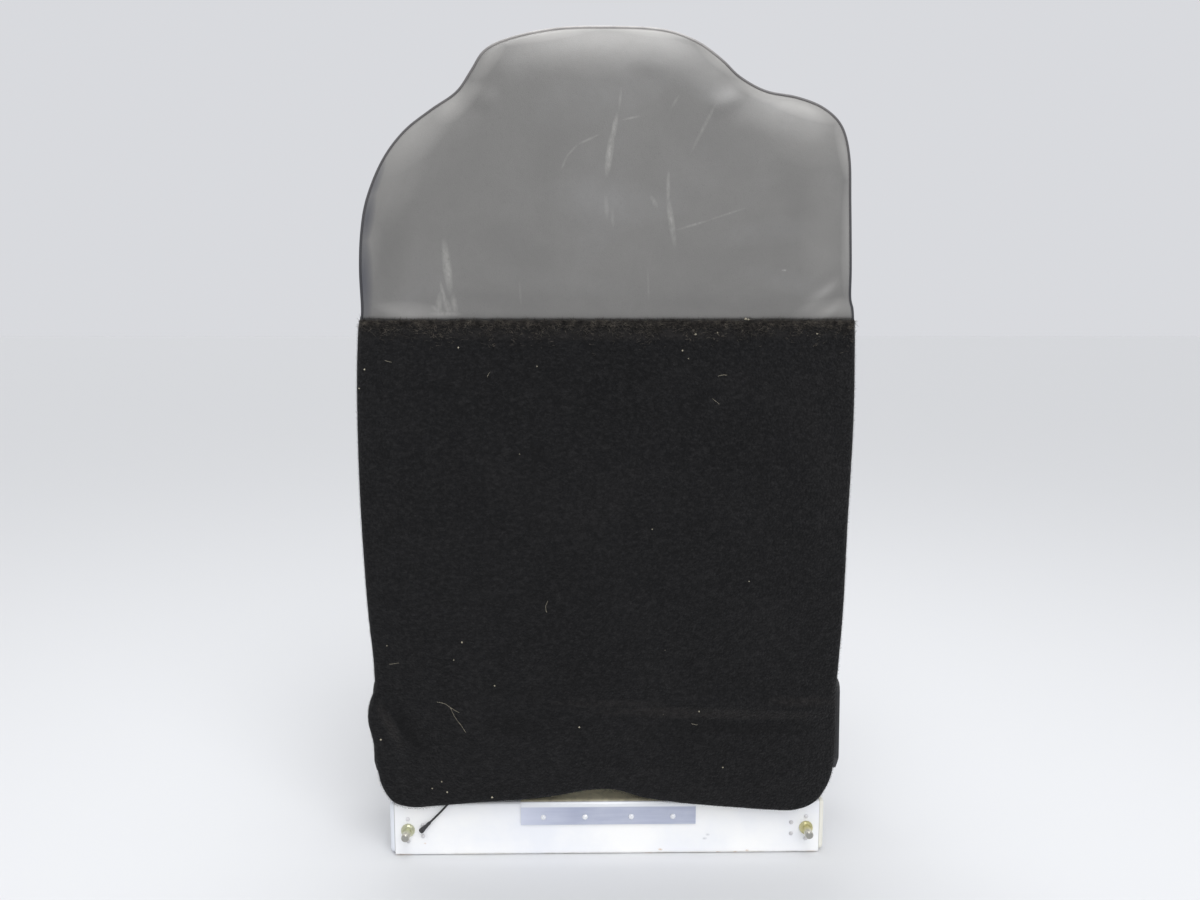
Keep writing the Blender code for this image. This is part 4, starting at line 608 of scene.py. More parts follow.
def metal(name, colour, roughness, stretch, tint=None, metallic=1.0):
    """Plated or bare metal with fine scratches one way and soft stains."""
    worn = 0.12
    f = Finish(name, metallic=metallic)
    fine = f.noise(480, 5, 0.65, stretch=stretch)
    cloud = f.noise(20, 5, 0.6, distortion=0.6)
    dark, light = shade(colour, 0.80), shade(colour, 1.10, 5)
    base = f.ramp(cloud, (0.3, dark), (0.5, colour), (0.72, light))
    if tint:
        stains = f.noise(48, 3, 0.5, distortion=1.2)
        base = f.mix(f.ramp(stains, (0.45, 0.0), (0.7, 0.6)), base, tint)
    f.colour(f.mix(0.25, base, f.ramp(fine, (0.3, dark), (0.7, light))))
    f.set("Roughness", f.ramp(fine, (0.25, max(0.08, roughness - worn)), (0.8, roughness + worn)))
    f.normal(fine, 0.18, 0.0003)
    return f.material


def pin_metal():
    """Locating pins: yellow chromate bosses, the left one greyer, and pins rubbed to grey."""
    f = Finish("pin_two_tone", metallic=0.7)
    fine = f.noise(500, 4, 0.6, stretch=(1, 1, 0.2))
    cloud = f.noise(120, 4, 0.6, distortion=0.8)
    gold = f.ramp(cloud, (0.3, (176, 170, 122)), (0.55, (214, 208, 160)), (0.8, (190, 193, 168)))
    gold = f.mix(f.times(f.band("X", -FAR, 0, 1), 0.55), gold, (194, 200, 182))
    grey = f.ramp(cloud, (0.3, (182, 179, 166)), (0.7, (214, 211, 199)))
    ends = f.mix(f.band("Y", -FAR, PIN_END_Y + 0.9, 0.3), grey, (164, 163, 157))
    f.colour(f.mix(f.band("Y", -FAR, PIN_END_Y + 6.5, 2.5), gold, ends))
    f.set("Roughness", f.ramp(fine, (0.25, 0.24), (0.8, 0.44)))
    f.normal(fine, 0.15, 0.0002)
    return f.material


def moulded(name, colour, roughness, grain=900):
    """Moulded plastic or rubber with a fine leather-like grain and rubbed lighter patches."""
    f = Finish(name)
    f.colour(f.ramp(f.noise(30, 5, 0.65), (0.35, colour), (0.75, shade(colour, 1.35, 12))))
    f.set("Roughness", f.ramp(f.noise(80, 4, 0.6), (0.3, roughness - 0.1), (0.7, roughness + 0.12)))
    f.normal(f.cells(grain, "SMOOTH_F1"), 0.35, 0.0004)
    return f.material


def plywood():
    """Board with grain lines along its length and darker knots of resin."""
    f = Finish("board_grain", 0.62)
    rings = f.node("ShaderNodeTexWave", {
        "Scale": 18, "Distortion": 7, "Detail": 4, "Vector": f.stretched((1, 0.15, 3)),
    }, wave_type="BANDS", bands_direction="X")
    grain = f.noise(220, 4, 0.6, stretch=(1, 0.08, 1))
    wood = f.ramp(rings.outputs["Fac"], (0.2, (196, 160, 112)), (0.8, (168, 126, 82)))
    f.colour(f.mix(f.ramp(grain, (0.35, 0.0), (0.8, 0.6)), wood, (140, 102, 64)))
    f.normal(grain, 0.25, 0.0004)
    return f.material


def leather(name, colour, scuffed=False):
    """Leather: fine grain, soft cloudy tone and creases, and on the back's rear pale scuffs."""
    f = Finish(name)
    cloud = f.noise(7, 6, 0.6, distortion=0.4)
    light = shade(colour, (1.05, 1.05, 1.06))
    tone = f.ramp(cloud, (0.28, shade(colour, 0.94)), (0.5, colour), (0.74, light))
    skin = f.mix(f.ramp(f.noise(70, 5, 0.7), (0.4, 0.0), (0.75, 0.3)), tone, shade(colour, 0.9))
    pebbles = f.cells(760, "DISTANCE_TO_EDGE")
    groove = f.ramp(pebbles, (0.0, 1.0), (0.09, 0.0))
    skin = f.mix(f.times(groove, 0.2), skin, shade(colour, 0.62))
    if scuffed:
        streaks = f.ramp(f.noise(330, 5, 0.8, stretch=(1, 1, 0.45)), (0.34, 0.2), (0.62, 1.0))
        skin = f.mix(f.times(f.marks(SCUFFS), streaks), skin, (158, 157, 153))
        broken = f.ramp(f.noise(40, 5, 0.7), (0.3, 0.3), (0.7, 1.0))
        # Lighter patches, broken by noise
        skin = f.mix(f.times(f.marks(LIGHTER_PATCHES), broken), skin, (134, 134, 134))
        # Painted highlight along the rims and shoulders
        skin = f.mix(f.marks(PAINTED_RIM_HIGHLIGHTS), skin, (178, 176, 173))
        # Painted shade down the sides
        skin = f.mix(f.marks(PAINTED_SIDE_SHADE), skin, (72, 73, 80))
        # Darker patches
        skin = f.mix(f.marks(DARKER_PATCHES), skin, shade(colour, 0.88))
    f.colour(skin)
    f.set("Roughness", f.ramp(f.noise(35, 4, 0.6), (0.3, 0.40), (0.75, 0.54)))
    grain = f.bump(f.ramp(pebbles, (0.0, 0.0), (0.16, 1.0)), 0.2, 0.0002)
    f.normal(f.noise(90, 3, 0.5, distortion=0.8), 0.12, 0.0010, grain)
    f.set("Sheen Weight", 0.06)
    f.set("Sheen Roughness", 0.45)
    f.coat(0.5, 0.32)
    return f.material


def piping():
    """Piping of the back: painted shade makes it dark down both sides and greyer on the shoulders,
    and a painted highlight makes the crown pale.
    """
    f = Finish("piping_painted_light", 0.42)
    height = f.node("ShaderNodeSeparateXYZ", {0: f.place}).outputs["Z"]
    # Painted shade low on the sides rising to a painted highlight on the crown, by height
    tone = f.ramp(
        f.rise(height, 0.56, 0.77),
        (0.0, (44, 45, 50)), (0.5, (78, 76, 77)), (0.82, (100, 97, 97)), (0.97, (170, 167, 165)))
    f.colour(f.mix(f.ramp(f.noise(60, 4, 0.6), (0.35, 0.0), (0.7, 0.35)), tone, (60, 59, 61)))
    f.normal(f.cells(900, "SMOOTH_F1"), 0.3, 0.0002)
    f.coat(0.4, 0.3)
    return f.material


def carpet():
    """Short black cut pile: tufts, lighter where the pile leans and under the seam, painted shade
    in its folds, painted highlights, and lint.
    """
    f = Finish("cut_pile", 0.95)
    tufts = f.cells(430)
    lean = f.noise(11, 6, 0.62, distortion=0.8)
    pile = f.ramp(lean, (0.3, (15, 15, 17)), (0.55, (21, 21, 23)), (0.8, (30, 29, 30)))
    pile = f.mix(f.ramp(tufts, (0.15, 0.0), (0.75, 0.6)), pile, (6, 6, 7))
    strands = f.noise(300, 6, 0.85, stretch=(0.6, 1, 1))
    pile = f.mix(f.ramp(strands, (0.47, 0.0), (0.72, 0.55)), pile, (54, 53, 54))
    clumps = f.ramp(f.noise(120, 6, 0.85), (0.34, 0.0), (0.66, 1.0))
    pile = f.mix(f.times(f.band("Z", 512, 540, 12), clumps, 0.55), pile, (70, 67, 64))
    # Painted shade in the flap's folds, then painted highlights where the pile catches the light
    pile = f.mix(f.marks(PAINTED_FOLD_SHADE), pile, (7, 7, 8))
    lit = f.times(f.marks(PAINTED_PILE_HIGHLIGHTS), f.ramp(strands, (0.4, 0.3), (0.6, 1.0)))
    pile = f.mix(lit, pile, (56, 52, 50))
    lint = f.ramp(f.cells(42), (0.012, 1.0), (0.026, 0.0))
    rare = f.ramp(f.noise(6, 3, 0.6), (0.52, 0.0), (0.64, 1.0))
    f.colour(f.mix(f.times(lint, rare), pile, (112, 108, 98)))
    domes = f.times(f.ramp(tufts, (0.0, 1.0), (0.8, 0.0)), 0.7)
    fuzz = f.times(f.noise(900, 3, 0.7), 0.5)
    f.normal(f.maths("ADD", domes, f.maths("ADD", fuzz, strands)), 1.0, 0.0016)
    f.set("Sheen Weight", 0.06)
    f.set("Sheen Roughness", 0.6)
    f.set("Specular IOR Level", 0.1)
    return f.material


def loose_fibre():
    """Fibres of the pile, from black to a dusty brown-grey."""
    f = Finish("pile_fibre", 0.9)
    cloud = f.noise(160, 3, 0.7)
    dark = f.ramp(cloud, (0.35, (18, 18, 20)), (0.6, (36, 35, 36)), (0.75, (66, 63, 60)))
    dusty = f.ramp(cloud, (0.3, (34, 33, 33)), (0.5, (66, 63, 60)), (0.7, (108, 102, 94)))
    f.colour(f.mix(f.band("Z", 490, 540, 6), dark, dusty))
    f.set("Specular IOR Level", 0.1)
    f.normal(f.noise(1500, 2, 0.5), 0.3, 0.0002)
    return f.material


GREY = (112, 111, 109)
LEATHER = leather("grey_leather_plain", GREY)
SCUFFED = leather("grey_leather", GREY, scuffed=True)
DARK_LEATHER = leather("dark_leather", (40, 40, 42))
PIPING = piping()
PILE = carpet()
FIBRE = loose_fibre()
RUBBER = moulded("waxed_black_cord", (20, 20, 22), 0.38, 1600)
LINT = moulded("lint_fibre", (150, 144, 128), 0.9, 300)
THREAD = moulded("grey_thread", (104, 103, 102), 0.7, 2400)

SLOT_FINISHES = {
    "white_paint": white_paint(),
    "aluminium": metal("brushed_aluminium", (186, 189, 196), 0.36, (1, 30, 1)),
    "steel": metal("zinc_plate", (172, 173, 170), 0.38, (1, 1, 12), (196, 188, 160)),
    "spring_steel": metal("spring_wire", (124, 126, 130), 0.3, (1, 1, 1)),
    "chromate": metal("olive_chromate", (128, 124, 100), 0.46, (30, 1, 1), (150, 138, 96), 0.55),
    "gold_plated": pin_metal(),
    "bronze": metal("bearing_bronze", (168, 126, 74), 0.4, (12, 1, 1)),
    "leather": LEATHER,
    "carpet": PILE,
    "black_plastic": moulded("black_moulding", (26, 26, 28), 0.5),
    "black_cord": RUBBER,
    "red_plastic": moulded("red_moulding", (158, 30, 26), 0.42),
    "plywood": plywood(),
}

# Nodes whose names start like this look unlike the rest of their slot
NODE_FINISHES = {
    "striker_angle": angle_metal(),
    "latch_housing": metal("dark_anodised", (58, 59, 63), 0.45, (1, 1, 6), metallic=0.7),
    "cord_pull": moulded("glossy_black_pull", (34, 34, 36), 0.26),
    "striker_rivet": metal("bright_rivet", (240, 242, 248), 0.3, (1, 1, 4), metallic=0.25),
    "pin_doubler": metal("painted_rivet", (214, 213, 216), 0.36, (1, 1, 4), metallic=0.1),
}


def finish_nodes():
    """Every node of the frame takes the finish of its material slot, or its own."""
    slots = {part["node"]: part["material_slot"] for part in frame["record"]["subparts"]}
    for name, item in NODES.items():
        own = [finish for start, finish in NODE_FINISHES.items() if name.startswith(start)]
        for place in item.material_slots:
            place.material = own[0] if own else SLOT_FINISHES[slots[name]]


# Camera, cord, floor and light


def build_camera():
    data = bpy.data.cameras.new("camera")
    data.sensor_fit = "HORIZONTAL"
    data.angle = radians(EYE_ANGLE)
    item = add_object("camera", data)
    item.location = EYE
    item.rotation_euler = (radians(90 + EYE_TILT), 0, radians(-EYE_TURN))
    bpy.context.scene.camera = item


def build_cord():
    points = smooth(CORD_ROUTE, 3) * MM
    points[:, 1] += REAR_FACE_Y
    curve = bpy.data.curves.new("release_cord", "CURVE")
    curve.dimensions = "3D"
    curve.bevel_depth = CORD_RADIUS * MM
    curve.bevel_resolution = 3
    curve.use_fill_caps = True
    spline = curve.splines.new("POLY")
    spline.points.add(len(points) - 1)
    for point, place in zip(spline.points, points):
        point.co = (*place, 1)
    curve.materials.append(RUBBER)
    item = add_object("release_cord", curve)
    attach(item, "back")
    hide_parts("pull_cord")


def build_stage():
    """A pale floor, and two broad suns and two soft boxes above it."""
    half, low = 40, -0.0002
    corners = [(x * half, y * half, low) for x, y in ((-1, -1), (1, -1), (1, 1), (-1, 1))]
    finish = Finish("pale_floor", 0.8)
    finish.shader.inputs["Base Color"].default_value = FLOOR_COLOUR
    finish.set("Specular IOR Level", 0.1)
    add_mesh("floor", corners, [(0, 1, 2, 3)], finish.material, False)
    for name, kind, place, aim, size, power in LAMPS:
        data = bpy.data.lights.new(name, kind)
        data.energy = power
        if kind == "SUN":
            data.angle = radians(size)
        else:
            data.size = size
        lamp = add_object(name, data)
        lamp.location = place
        lamp.rotation_euler = (Vector(aim) - Vector(place)).to_track_quat("-Z", "Y").to_euler()


def build_sky():
    """A pale sky, which the camera, reflections and clear pieces see as a plain backdrop."""
    world = bpy.data.worlds.new("studio")
    bpy.context.scene.world = world
    world.use_nodes = True
    sky = Nodes(world.node_tree)
    light = sky.tree.nodes["Background"]
    light.inputs["Color"].default_value = SKY_COLOUR
    light.inputs["Strength"].default_value = 0.6
    seen = sky.node("ShaderNodeBackground")
    seen.inputs["Color"].default_value = BACKDROP_COLOUR
    path = sky.node("ShaderNodeLightPath").outputs
    shown = sky.strongest(
        [path["Is Camera Ray"], path["Is Glossy Ray"], path["Is Transmission Ray"]])
    choice = sky.node("ShaderNodeMixShader", {0: shown, 1: light.outputs[0], 2: seen.outputs[0]})
    sky.fill(sky.tree.nodes["World Output"].inputs["Surface"], choice.outputs[0])


# Soft pieces of the back


def place_of(x, level, depth):
    """A point of the carpet: on the leaning panel, or hanging straight below it."""
    x, level, depth = np.broadcast_arrays(x, level, depth)
    lean = on_panel(x, depth, level)
    hung = np.stack([x * MM, FLAP_REAR + depth * MM, level * MM], axis=-1)
    share = np.clip((level - BACK_BOTTOM + 6) / 12, 0, 1)[..., None]
    return share * lean + (1 - share) * hung


def cut_at(outline, height):
    """An open outline that runs up one side and down the other, kept above a height."""
    found = []
    for a, b in zip(outline, outline[1:]):
        if a[1] >= height:
            found.append(a)
        if (a[1] - height) * (b[1] - height) < 0:
            share = (height - a[1]) / (b[1] - a[1])
            found.append(a + share * (b - a))
    if outline[-1][1] >= height:
        found.append(outline[-1])
    return np.array(found)


def moved_in(outline, distance):
    """An open outline that runs clockwise seen from behind, moved inward."""
    along = unit(np.gradient(outline, axis=0))
    return outline + distance * np.stack([along[:, 1], -along[:, 0]], axis=1)


def nearest(outline, point):
    return int(np.argmin(np.linalg.norm(outline - point, axis=1)))


def folds(x, level, table):
    """Depth of soft folds along lines, which fade at both ends: below zero they stand out."""
    depth = np.zeros(x.shape)
    for start, end, width, height in table:
        step = np.subtract(end, start)
        share = ((x - start[0]) * step[0] + (level - start[1]) * step[1]) / (step @ step)
        share = np.clip(share, 0, 1)
        gap = np.hypot(x - start[0] - share * step[0], level - start[1] - share * step[1])
        depth += height * np.exp(-(gap / width) ** 2) * np.sin(share * pi) ** 0.5
    return depth


def build_rear_leather(whole):
    """The grey leather over the top of the back: tight, with a rolled edge and a turned-in hem."""
    outline = moved_in(cut_at(whole, SEAM_HEIGHT - 2), 0.4)
    outline[0][1] = outline[-1][1] = SEAM_HEIGHT - 1
    left_corner = nearest(outline, (-176, 679))
    right_corner = nearest(outline, (200, 684))
    left, top = outline[:left_corner + 1], outline[left_corner:right_corner + 1]
    right = outline[right_corner:][::-1]
    us = graded(436, EDGE_STEPS, 3.4)
    vs = graded(175, EDGE_STEPS, 3.4)
    grid = coons([left[0], right[0]], top, left, right, us, vs)
    x, level = grid[..., 0], grid[..., 1]
    gap = distance_to(grid, outline)
    hem = level - (SEAM_HEIGHT - 1)
    fall = 8.6 * np.clip(1 - gap / 40, 0, 1) ** 2.3 + roll(gap, 7) * 0.45
    fold = roll(hem, 3.6)
    crown = -1.6 * np.clip(gap / 90, 0, 1) ** 0.7 * np.clip(hem / 25, 0, 1)
    waves = 0.35 * np.sin(x / 31 + 0.6) * np.sin(level / 47)
    soft = (waves + folds(x, level, LEATHER_FOLDS)) * np.clip(gap / 14, 0, 1)
    depth = crown + soft + fall + fold
    rear = on_panel(x, depth, level)
    front = on_panel(x * 0.985, np.maximum(depth + 1.2, 10.2), level)
    item = shell("rear_leather", rear, front, SCUFFED, "back")
    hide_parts("rear_leather_cover")


def build_carpet(whole):
    """Carpet from the seam down to the flap's arched lower edge, in one piece, and its outline."""
    beside = whole[(BACK_BOTTOM + 4 < whole[:, 1]) & (whole[:, 1] < SEAM_HEIGHT)]
    side_left, side_right = beside[beside[:, 0] < 0], beside[beside[:, 0] > 0]
    flap = smooth(FLAP_OUTLINE, 5)
    flap[:, 1] -= FLAP_HEM * np.clip((110 - flap[:, 1]) / 20, 0, 1)
    low_left = nearest(flap, (-206, 62))
    low_right = nearest(flap, (203, 63))
    left = np.vstack([flap[:low_left + 1][::-1], side_left, [side_left[-1][0], SEAM_HEIGHT]])
    right = np.vstack([flap[low_right:], side_right[::-1], [side_right[0][0], SEAM_HEIGHT]])
    bottom = flap[low_left:low_right + 1]
    us = graded(440, EDGE_STEPS, 3.6)
    vs = graded(462, HEM_STEPS, 3.6)
    grid = coons(bottom, [left[-1], right[-1]], left, right, us, vs)
    x, level = grid[..., 0], grid[..., 1]
    outline = np.vstack([left[::-1], bottom[1:-1], right])
    gap = distance_to(grid, outline)
    fall = roll(gap, 5) + roll(SEAM_HEIGHT - level, 2.6)
    rng = np.random.default_rng(7)
    pile = rng.normal(0, 0.16, x.shape)
    loose = np.clip((BACK_BOTTOM + 20 - level) / 40, 0, 1)
    shape = (
        -1.4 * np.clip(gap / 30, 0, 1)
        + folds(x, level, CARPET_FOLDS)
        + loose * (1.3 * np.sin(x / 36 + 0.8) + 0.8 * np.sin(x / 17))
    )
    depth = shape + pile + fall
    rear = place_of(x, level, depth)
    front = place_of(x * 0.992, level, np.maximum(depth + 3.0, 4.3))
    item = shell("rear_carpet", rear, front, PILE, "back")
    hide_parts("rear_carpet_panel", "carpet_flap")
    return outline


def build_fibres(outline):
    """Loose fibres that stand out of the pile along the seam, the sides and the lower edge."""
    seam_fibres, edge_fibres = 6400, 3200
    middle = 300
    thirds = (0, 2.094, 4.189)
    rng = np.random.default_rng(3)
    points, faces = [], []

    def fibre(root, direction, length, thick):
        side = unit(np.cross(direction, (0.3, 1.0, 0.2)))
        other = np.cross(direction, side)
        bend = rng.normal(0, 0.35, 3)
        start = len(points)
        for share in (0, 0.5, 1.0):
            centre = root + direction * length * share + bend * length * share * share * 0.5
            width = thick * (1 - 0.8 * share)
            for a in thirds:
                points.append(centre + width * (cos(a) * side + sin(a) * other))
        faces.extend(bridge(start, 3, 2))

    for _ in range(seam_fibres):
        x = rng.uniform(-219, 217)
        clump = 0.5 + 0.5 * np.sin(0.21 * x + 1.7 * np.sin(0.07 * x))
        level = SEAM_HEIGHT - 1.0 - rng.exponential(2.4 + 3.4 * clump)
        depth = -2.0 + rng.uniform(0, 0.8) + 2.2 * np.exp(-(SEAM_HEIGHT - level) / 1.2)
        root = on_panel(x, depth, level)
        direction = np.array([rng.normal(0, 0.9), -0.5, 0.35 + rng.normal(0, 0.45)])
        fibre(root, unit(direction), rng.uniform(1.8, 5.2) * MM, 0.22 * MM)
    for x, level in resample(outline, np.linspace(0, 1, edge_fibres)):
        if level > SEAM_HEIGHT - 2:
            continue
        root = place_of(x, level, 4.4 + rng.uniform(-0.8, 0.8))
        out = np.array([x, 0, (level - middle) * (1.6 if level < 100 else 0.2)])
        out = unit(out) + np.array([0, -0.5, 0]) + rng.normal(0, 0.45, 3)
        fibre(root, unit(out), rng.uniform(0.7, 1.7) * MM, 0.11 * MM)
    item = add_mesh("carpet_fibres", points, faces, FIBRE, smooth_faces=False)
    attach(item, "back")


def build_lint():
    """A few pale hairs and specks caught in the pile and on the leather."""
    rng = np.random.default_rng(11)
    points, faces = [], []
    for hair in HAIRS:
        route = smooth(hair, 4)
        places = place_of(route[:, 0], route[:, 1], -2.6)
        start = len(points)
        for place in places:
            for dx, dz in ((-1, -0.6), (1, -0.6), (0, 1)):
                points.append(place + np.array([dx, 0.2 * dz, dz]) * 0.085 * MM)
        faces += bridge(start, 3, len(places) - 1)
    for x, level, size in SPECKS:
        centre = place_of(x, level, -2.4)
        start = len(points)
        for dx, dy, dz in ((1, 0, 0), (-1, 0, 0), (0, 0, 1), (0, 0, -1), (0, 0.7, 0), (0, -0.7, 0)):
            jitter = rng.uniform(0.6, 1.3)
            points.append(centre + np.array([dx, dy, dz]) * size * jitter * MM)
        for a, b in ((0, 2), (2, 1), (1, 3), (3, 0)):
            faces += [(start + a, start + b, start + 5), (start + b, start + a, start + 4)]
    item = add_mesh("lint", points, faces, LINT, smooth_faces=False)
    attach(item, "back")


def build_welt(whole):
    """Piping sewn between the rear cover and the side of the cushion."""
    outline = resample(cut_at(moved_in(whole, 0.1), 176), np.linspace(0, 1, 420))
    places = on_panel(outline[:, 0], 11.4, outline[:, 1])
    item = tube("back_piping", places, 1.5 * MM, PIPING, "back")


def stitches(name, lines, body):
    """Short raised stitches along routes of (place, outward direction)."""
    pitch, length, thick = 4.2, 2.6, 0.42
    points, faces = [], []
    for places, outward in lines:
        along = lengths_along(places)
        for at in np.arange(pitch * MM, along[-1] - pitch * MM, pitch * MM):
            centre = interpolated(at, along, places)
            step = unit(interpolated(at + MM, along, places) - centre)
            out = unit(interpolated(at, along, outward))
            side = np.cross(step, out)
            start = len(points)
            for share, rise in ((-0.5, -0.5), (-0.3, 0.6), (0.3, 0.6), (0.5, -0.5)):
                middle = centre + step * share * length * MM + out * rise * thick * MM
                for i in range(5):
                    a = 2 * pi * i / 5
                    points.append(middle + thick * MM * 0.5 * (cos(a) * side + sin(a) * out))
            faces += bridge(start, 5, 3)
    item = add_mesh(name, points, faces, THREAD)
    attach(item, body)


def numbers_of(collection, name):
    found = np.zeros(len(collection) * 3)
    collection.foreach_get(name, found)
    return found.reshape(-1, 3)


def vertices_of(item):
    return numbers_of(item.data.vertices, "co")


def sink(item, depth):
    """The item's surface moved in along its normals, by metres at each point."""
    normals = numbers_of(item.data.vertex_normals, "vector")
    set_vertices(item, vertices_of(item) - normals * depth[:, None])


def set_vertices(item, points):
    item.data.vertices.foreach_set("co", points.ravel())
    item.data.update()


def evaluated(item):
    return item.evaluated_get(bpy.context.evaluated_depsgraph_get())


def apply_modifiers(item):
    bpy.context.view_layer.update()
    mesh = bpy.data.meshes.new_from_object(evaluated(item))
    item.modifiers.clear()
    item.data = mesh


def inflate(item, voxel, held, limit):
    """The item as a cushion: remeshed, swollen by cloth pressure, capped, and made finer."""
    remesh = item.modifiers.new("even", "REMESH")
    remesh.mode = "VOXEL"
    remesh.voxel_size = voxel * 1
    apply_modifiers(item)
    start = vertices_of(item)
    cap = limit(start)
    hold = held(start)
    group = item.vertex_groups.new(name="held")
    for index in np.nonzero(hold > 0.02)[0]:
        group.add([int(index)], float(hold[index]), "REPLACE")
    cloth = item.modifiers.new("cloth", "CLOTH")
    cloth.settings.use_pressure = True
    cloth.settings.uniform_pressure_force = 4
    cloth.settings.effector_weights.gravity = 0
    cloth.settings.quality = 5
    cloth.settings.bending_stiffness = 0.8
    cloth.settings.vertex_group_mass = "held"
    frames = 20
    scene = bpy.context.scene
    for number in range(frames):
        scene.frame_set(number + 1)
    move = numbers_of(evaluated(item).data.vertices, "co") - start
    item.modifiers.clear()
    item.vertex_groups.clear()
    scene.frame_set(1)
    size = np.linalg.norm(move, axis=1)
    moved = [round(float(v) / MM, 1) for v in np.percentile(size, (50, 90, 99))]
    print(item.name, "swelled by", moved, "mm")
    share = np.minimum(1, cap / np.maximum(size, 1e-9)) * (1 - hold)
    set_vertices(item, start + move * share[:, None])
    finer = item.modifiers.new("finer", "SUBSURF")
    finer.levels = 1
    finer.render_levels = 1
    apply_modifiers(item)
    item.data.polygons.foreach_set("use_smooth", [True] * len(item.data.polygons))


def to_panel(points):
    """Places in metres as (x, depth, height) in millimetres on the leaning panel."""
    y = points[:, 1] / MM - PANEL_FOOT_Y / MM
    z = points[:, 2] / MM
    depth = y * cos(RECLINE) + z * sin(RECLINE)
    height = -y * sin(RECLINE) + z * cos(RECLINE)
    return np.stack([points[:, 0] / MM, depth, height], axis=1)


def front_depth(height):
    """How far the front of the back pad stands off the panel, at a height."""
    return np.interp(height, *zip(*BACK_SECTION))


def lofted(name, loops, material):
    """A closed solid through loops of places, with flat ends."""
    points = [place for loop in loops for place in loop]
    item = add_mesh(name, points, bridge(0, len(loops[0]), len(loops) - 1), material)
    face_outward(item)
    return item


def seam_gap(points, seams):
    """Distance in millimetres from each (x, height) to the nearest seam line."""
    return distance_to(points, *(smooth(seam, 6) for seam in seams))


def build_back_pad():
    """The padded front of the back: leather over foam, with side bolsters and sewn cross seams."""
    whole = smooth(BACK_OUTLINE, 3)
    tongue = np.array([(174, BACK_BOTTOM), (172, 150), (-172, 150), (-174, BACK_BOTTOM)], float)
    outline = np.vstack([whole, tongue])
    centre = np.array([0, 470.0])
    # Each loop's share of the outline, and its share of the front's depth, or its millimetres
    rings = (
        (0.955, 8.6), (0.985, 10.5), (0.996, 0.20), (0.998, 0.34), (0.992, 0.52), (0.975, 0.68),
        (0.945, 0.80), (0.89, 0.875), (0.80, 0.905), (0.62, 0.915), (0.36, 0.92),
    )
    loops = []
    for scale, share in rings:
        place = centre + scale * (outline - centre)
        low = outline[:, 1] < BACK_BOTTOM + 1
        place[low, 1] = outline[low, 1] + (1 - scale) * 120
        depth = front_depth(place[:, 1]) * share if share < 2 else np.full(len(place), share)
        loops.append(on_panel(place[:, 0], depth, place[:, 1]))
    item = lofted("back_pad", loops, LEATHER)

    def gap_of(points):
        on = to_panel(points)
        return seam_gap(on[:, [0, 2]], BACK_SEAMS), on

    def held(points):
        gap, on = gap_of(points)
        front = on[:, 1] > 0.6 * front_depth(on[:, 2])
        behind = np.clip((34 - on[:, 1]) / 20, 0, 1)
        return np.maximum(behind, front * np.clip(1.6 - gap / 3, 0, 1))

    def limit(points):
        gap, on = gap_of(points)
        front = np.clip((on[:, 1] / front_depth(on[:, 2]) - 0.55) / 0.2, 0, 1)
        return (front * pillow(gap, 42, 9) + (1 - front) * 2.5) * MM

    inflate(item, 6 * MM, held, limit)
    gap, on = gap_of(vertices_of(item))
    front = on[:, 1] > 0.6 * front_depth(on[:, 2])
    sink(item, np.where(front, 2.4 * np.exp(-(gap / 1.8) ** 2), 0) * MM)
    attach(item, "back")
    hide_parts("back_cushion")
    towards = (0, -cos(RECLINE), -sin(RECLINE))
    threads = seam_threads(item, BACK_SEAMS, lambda x, height: on_panel(x, 90, height), towards)
    stitches("back_stitches", threads, "back")


def pillow(gap, reach, rise):
    """Height of a sewn panel by the distance from its seams: steep beside them, then level."""
    share = np.clip(gap / reach, 0, 1)
    return rise * np.sqrt(1 - (1 - share) ** 2)


def seat_outline(margin):
    """The seat cushion from above, with its narrower neck at the rear, less a margin all round."""
    half, neck = SEAT_WIDTH / 2 - margin, SEAT_NECK_HALF - margin
    front, rear, end = SEAT_FRONT_Y - margin, SEAT_REAR_Y + margin, SEAT_NECK_Y + margin
    left = [(-half, front), (-half, rear), (-neck, rear), (-neck, end)]
    right = [(-x, y) for x, y in reversed(left)]
    return rounded(left + right, (30, 14, 6, 14, 14, 6, 14, 30))


def on_seat(edge, z):
    """A place from above and a height, in millimetres from the rear face, as a place in metres."""
    return np.stack([edge[:, 0] * MM, edge[:, 1] * MM + REAR_FACE_Y, z * MM], axis=1)


def rounded(corners, radii):
    """A closed outline with each corner turned by an arc."""
    found = []
    count = len(corners)
    for k in range(count):
        before, here, after = (np.array(corners[i % count], float) for i in (k - 1, k, k + 1))
        one = here + radii[k] * unit(before - here)
        two = here + radii[k] * unit(after - here)
        for t in np.linspace(0, 1, 5):
            found.append((1 - t) ** 2 * one + 2 * t * (1 - t) * here + t * t * two)
    return np.array(found)


def seat_top(y):
    """Height of the seat cushion's top, which rises towards the front."""
    share = (y - SEAT_NECK_Y) / (SEAT_FRONT_Y - SEAT_NECK_Y)
    return SEAT_REAR_TOP + share * (SEAT_FRONT_TOP - SEAT_REAR_TOP)


def on_surface(item, places, towards):
    """Places moved along a direction until they meet the item, with the surface's normals there."""
    mesh = item.data
    tree = BVHTree.FromPolygons([v.co for v in mesh.vertices], [p.vertices for p in mesh.polygons])
    found, normals = [], []
    for place in places:
        hit, normal, _, _ = tree.ray_cast(Vector(place) - 0.3 * Vector(towards), Vector(towards))
        if hit is not None:
            found.append(np.array(hit))
            normals.append(np.array(normal))
    return np.array(found), np.array(normals)


def seam_threads(item, seams, to_place, towards):
    """Two rows of stitches beside each seam, as routes with outward directions."""
    lines = []
    for seam in seams:
        for side in (-5, 5):
            route = moved_in(smooth(seam, 14), side)
            places = [to_place(x, y) for x, y in route]
            found, normals = on_surface(item, places, towards)
            if len(found) > 4:
                lines.append((found + normals * 0.1 * MM, normals))
    return lines


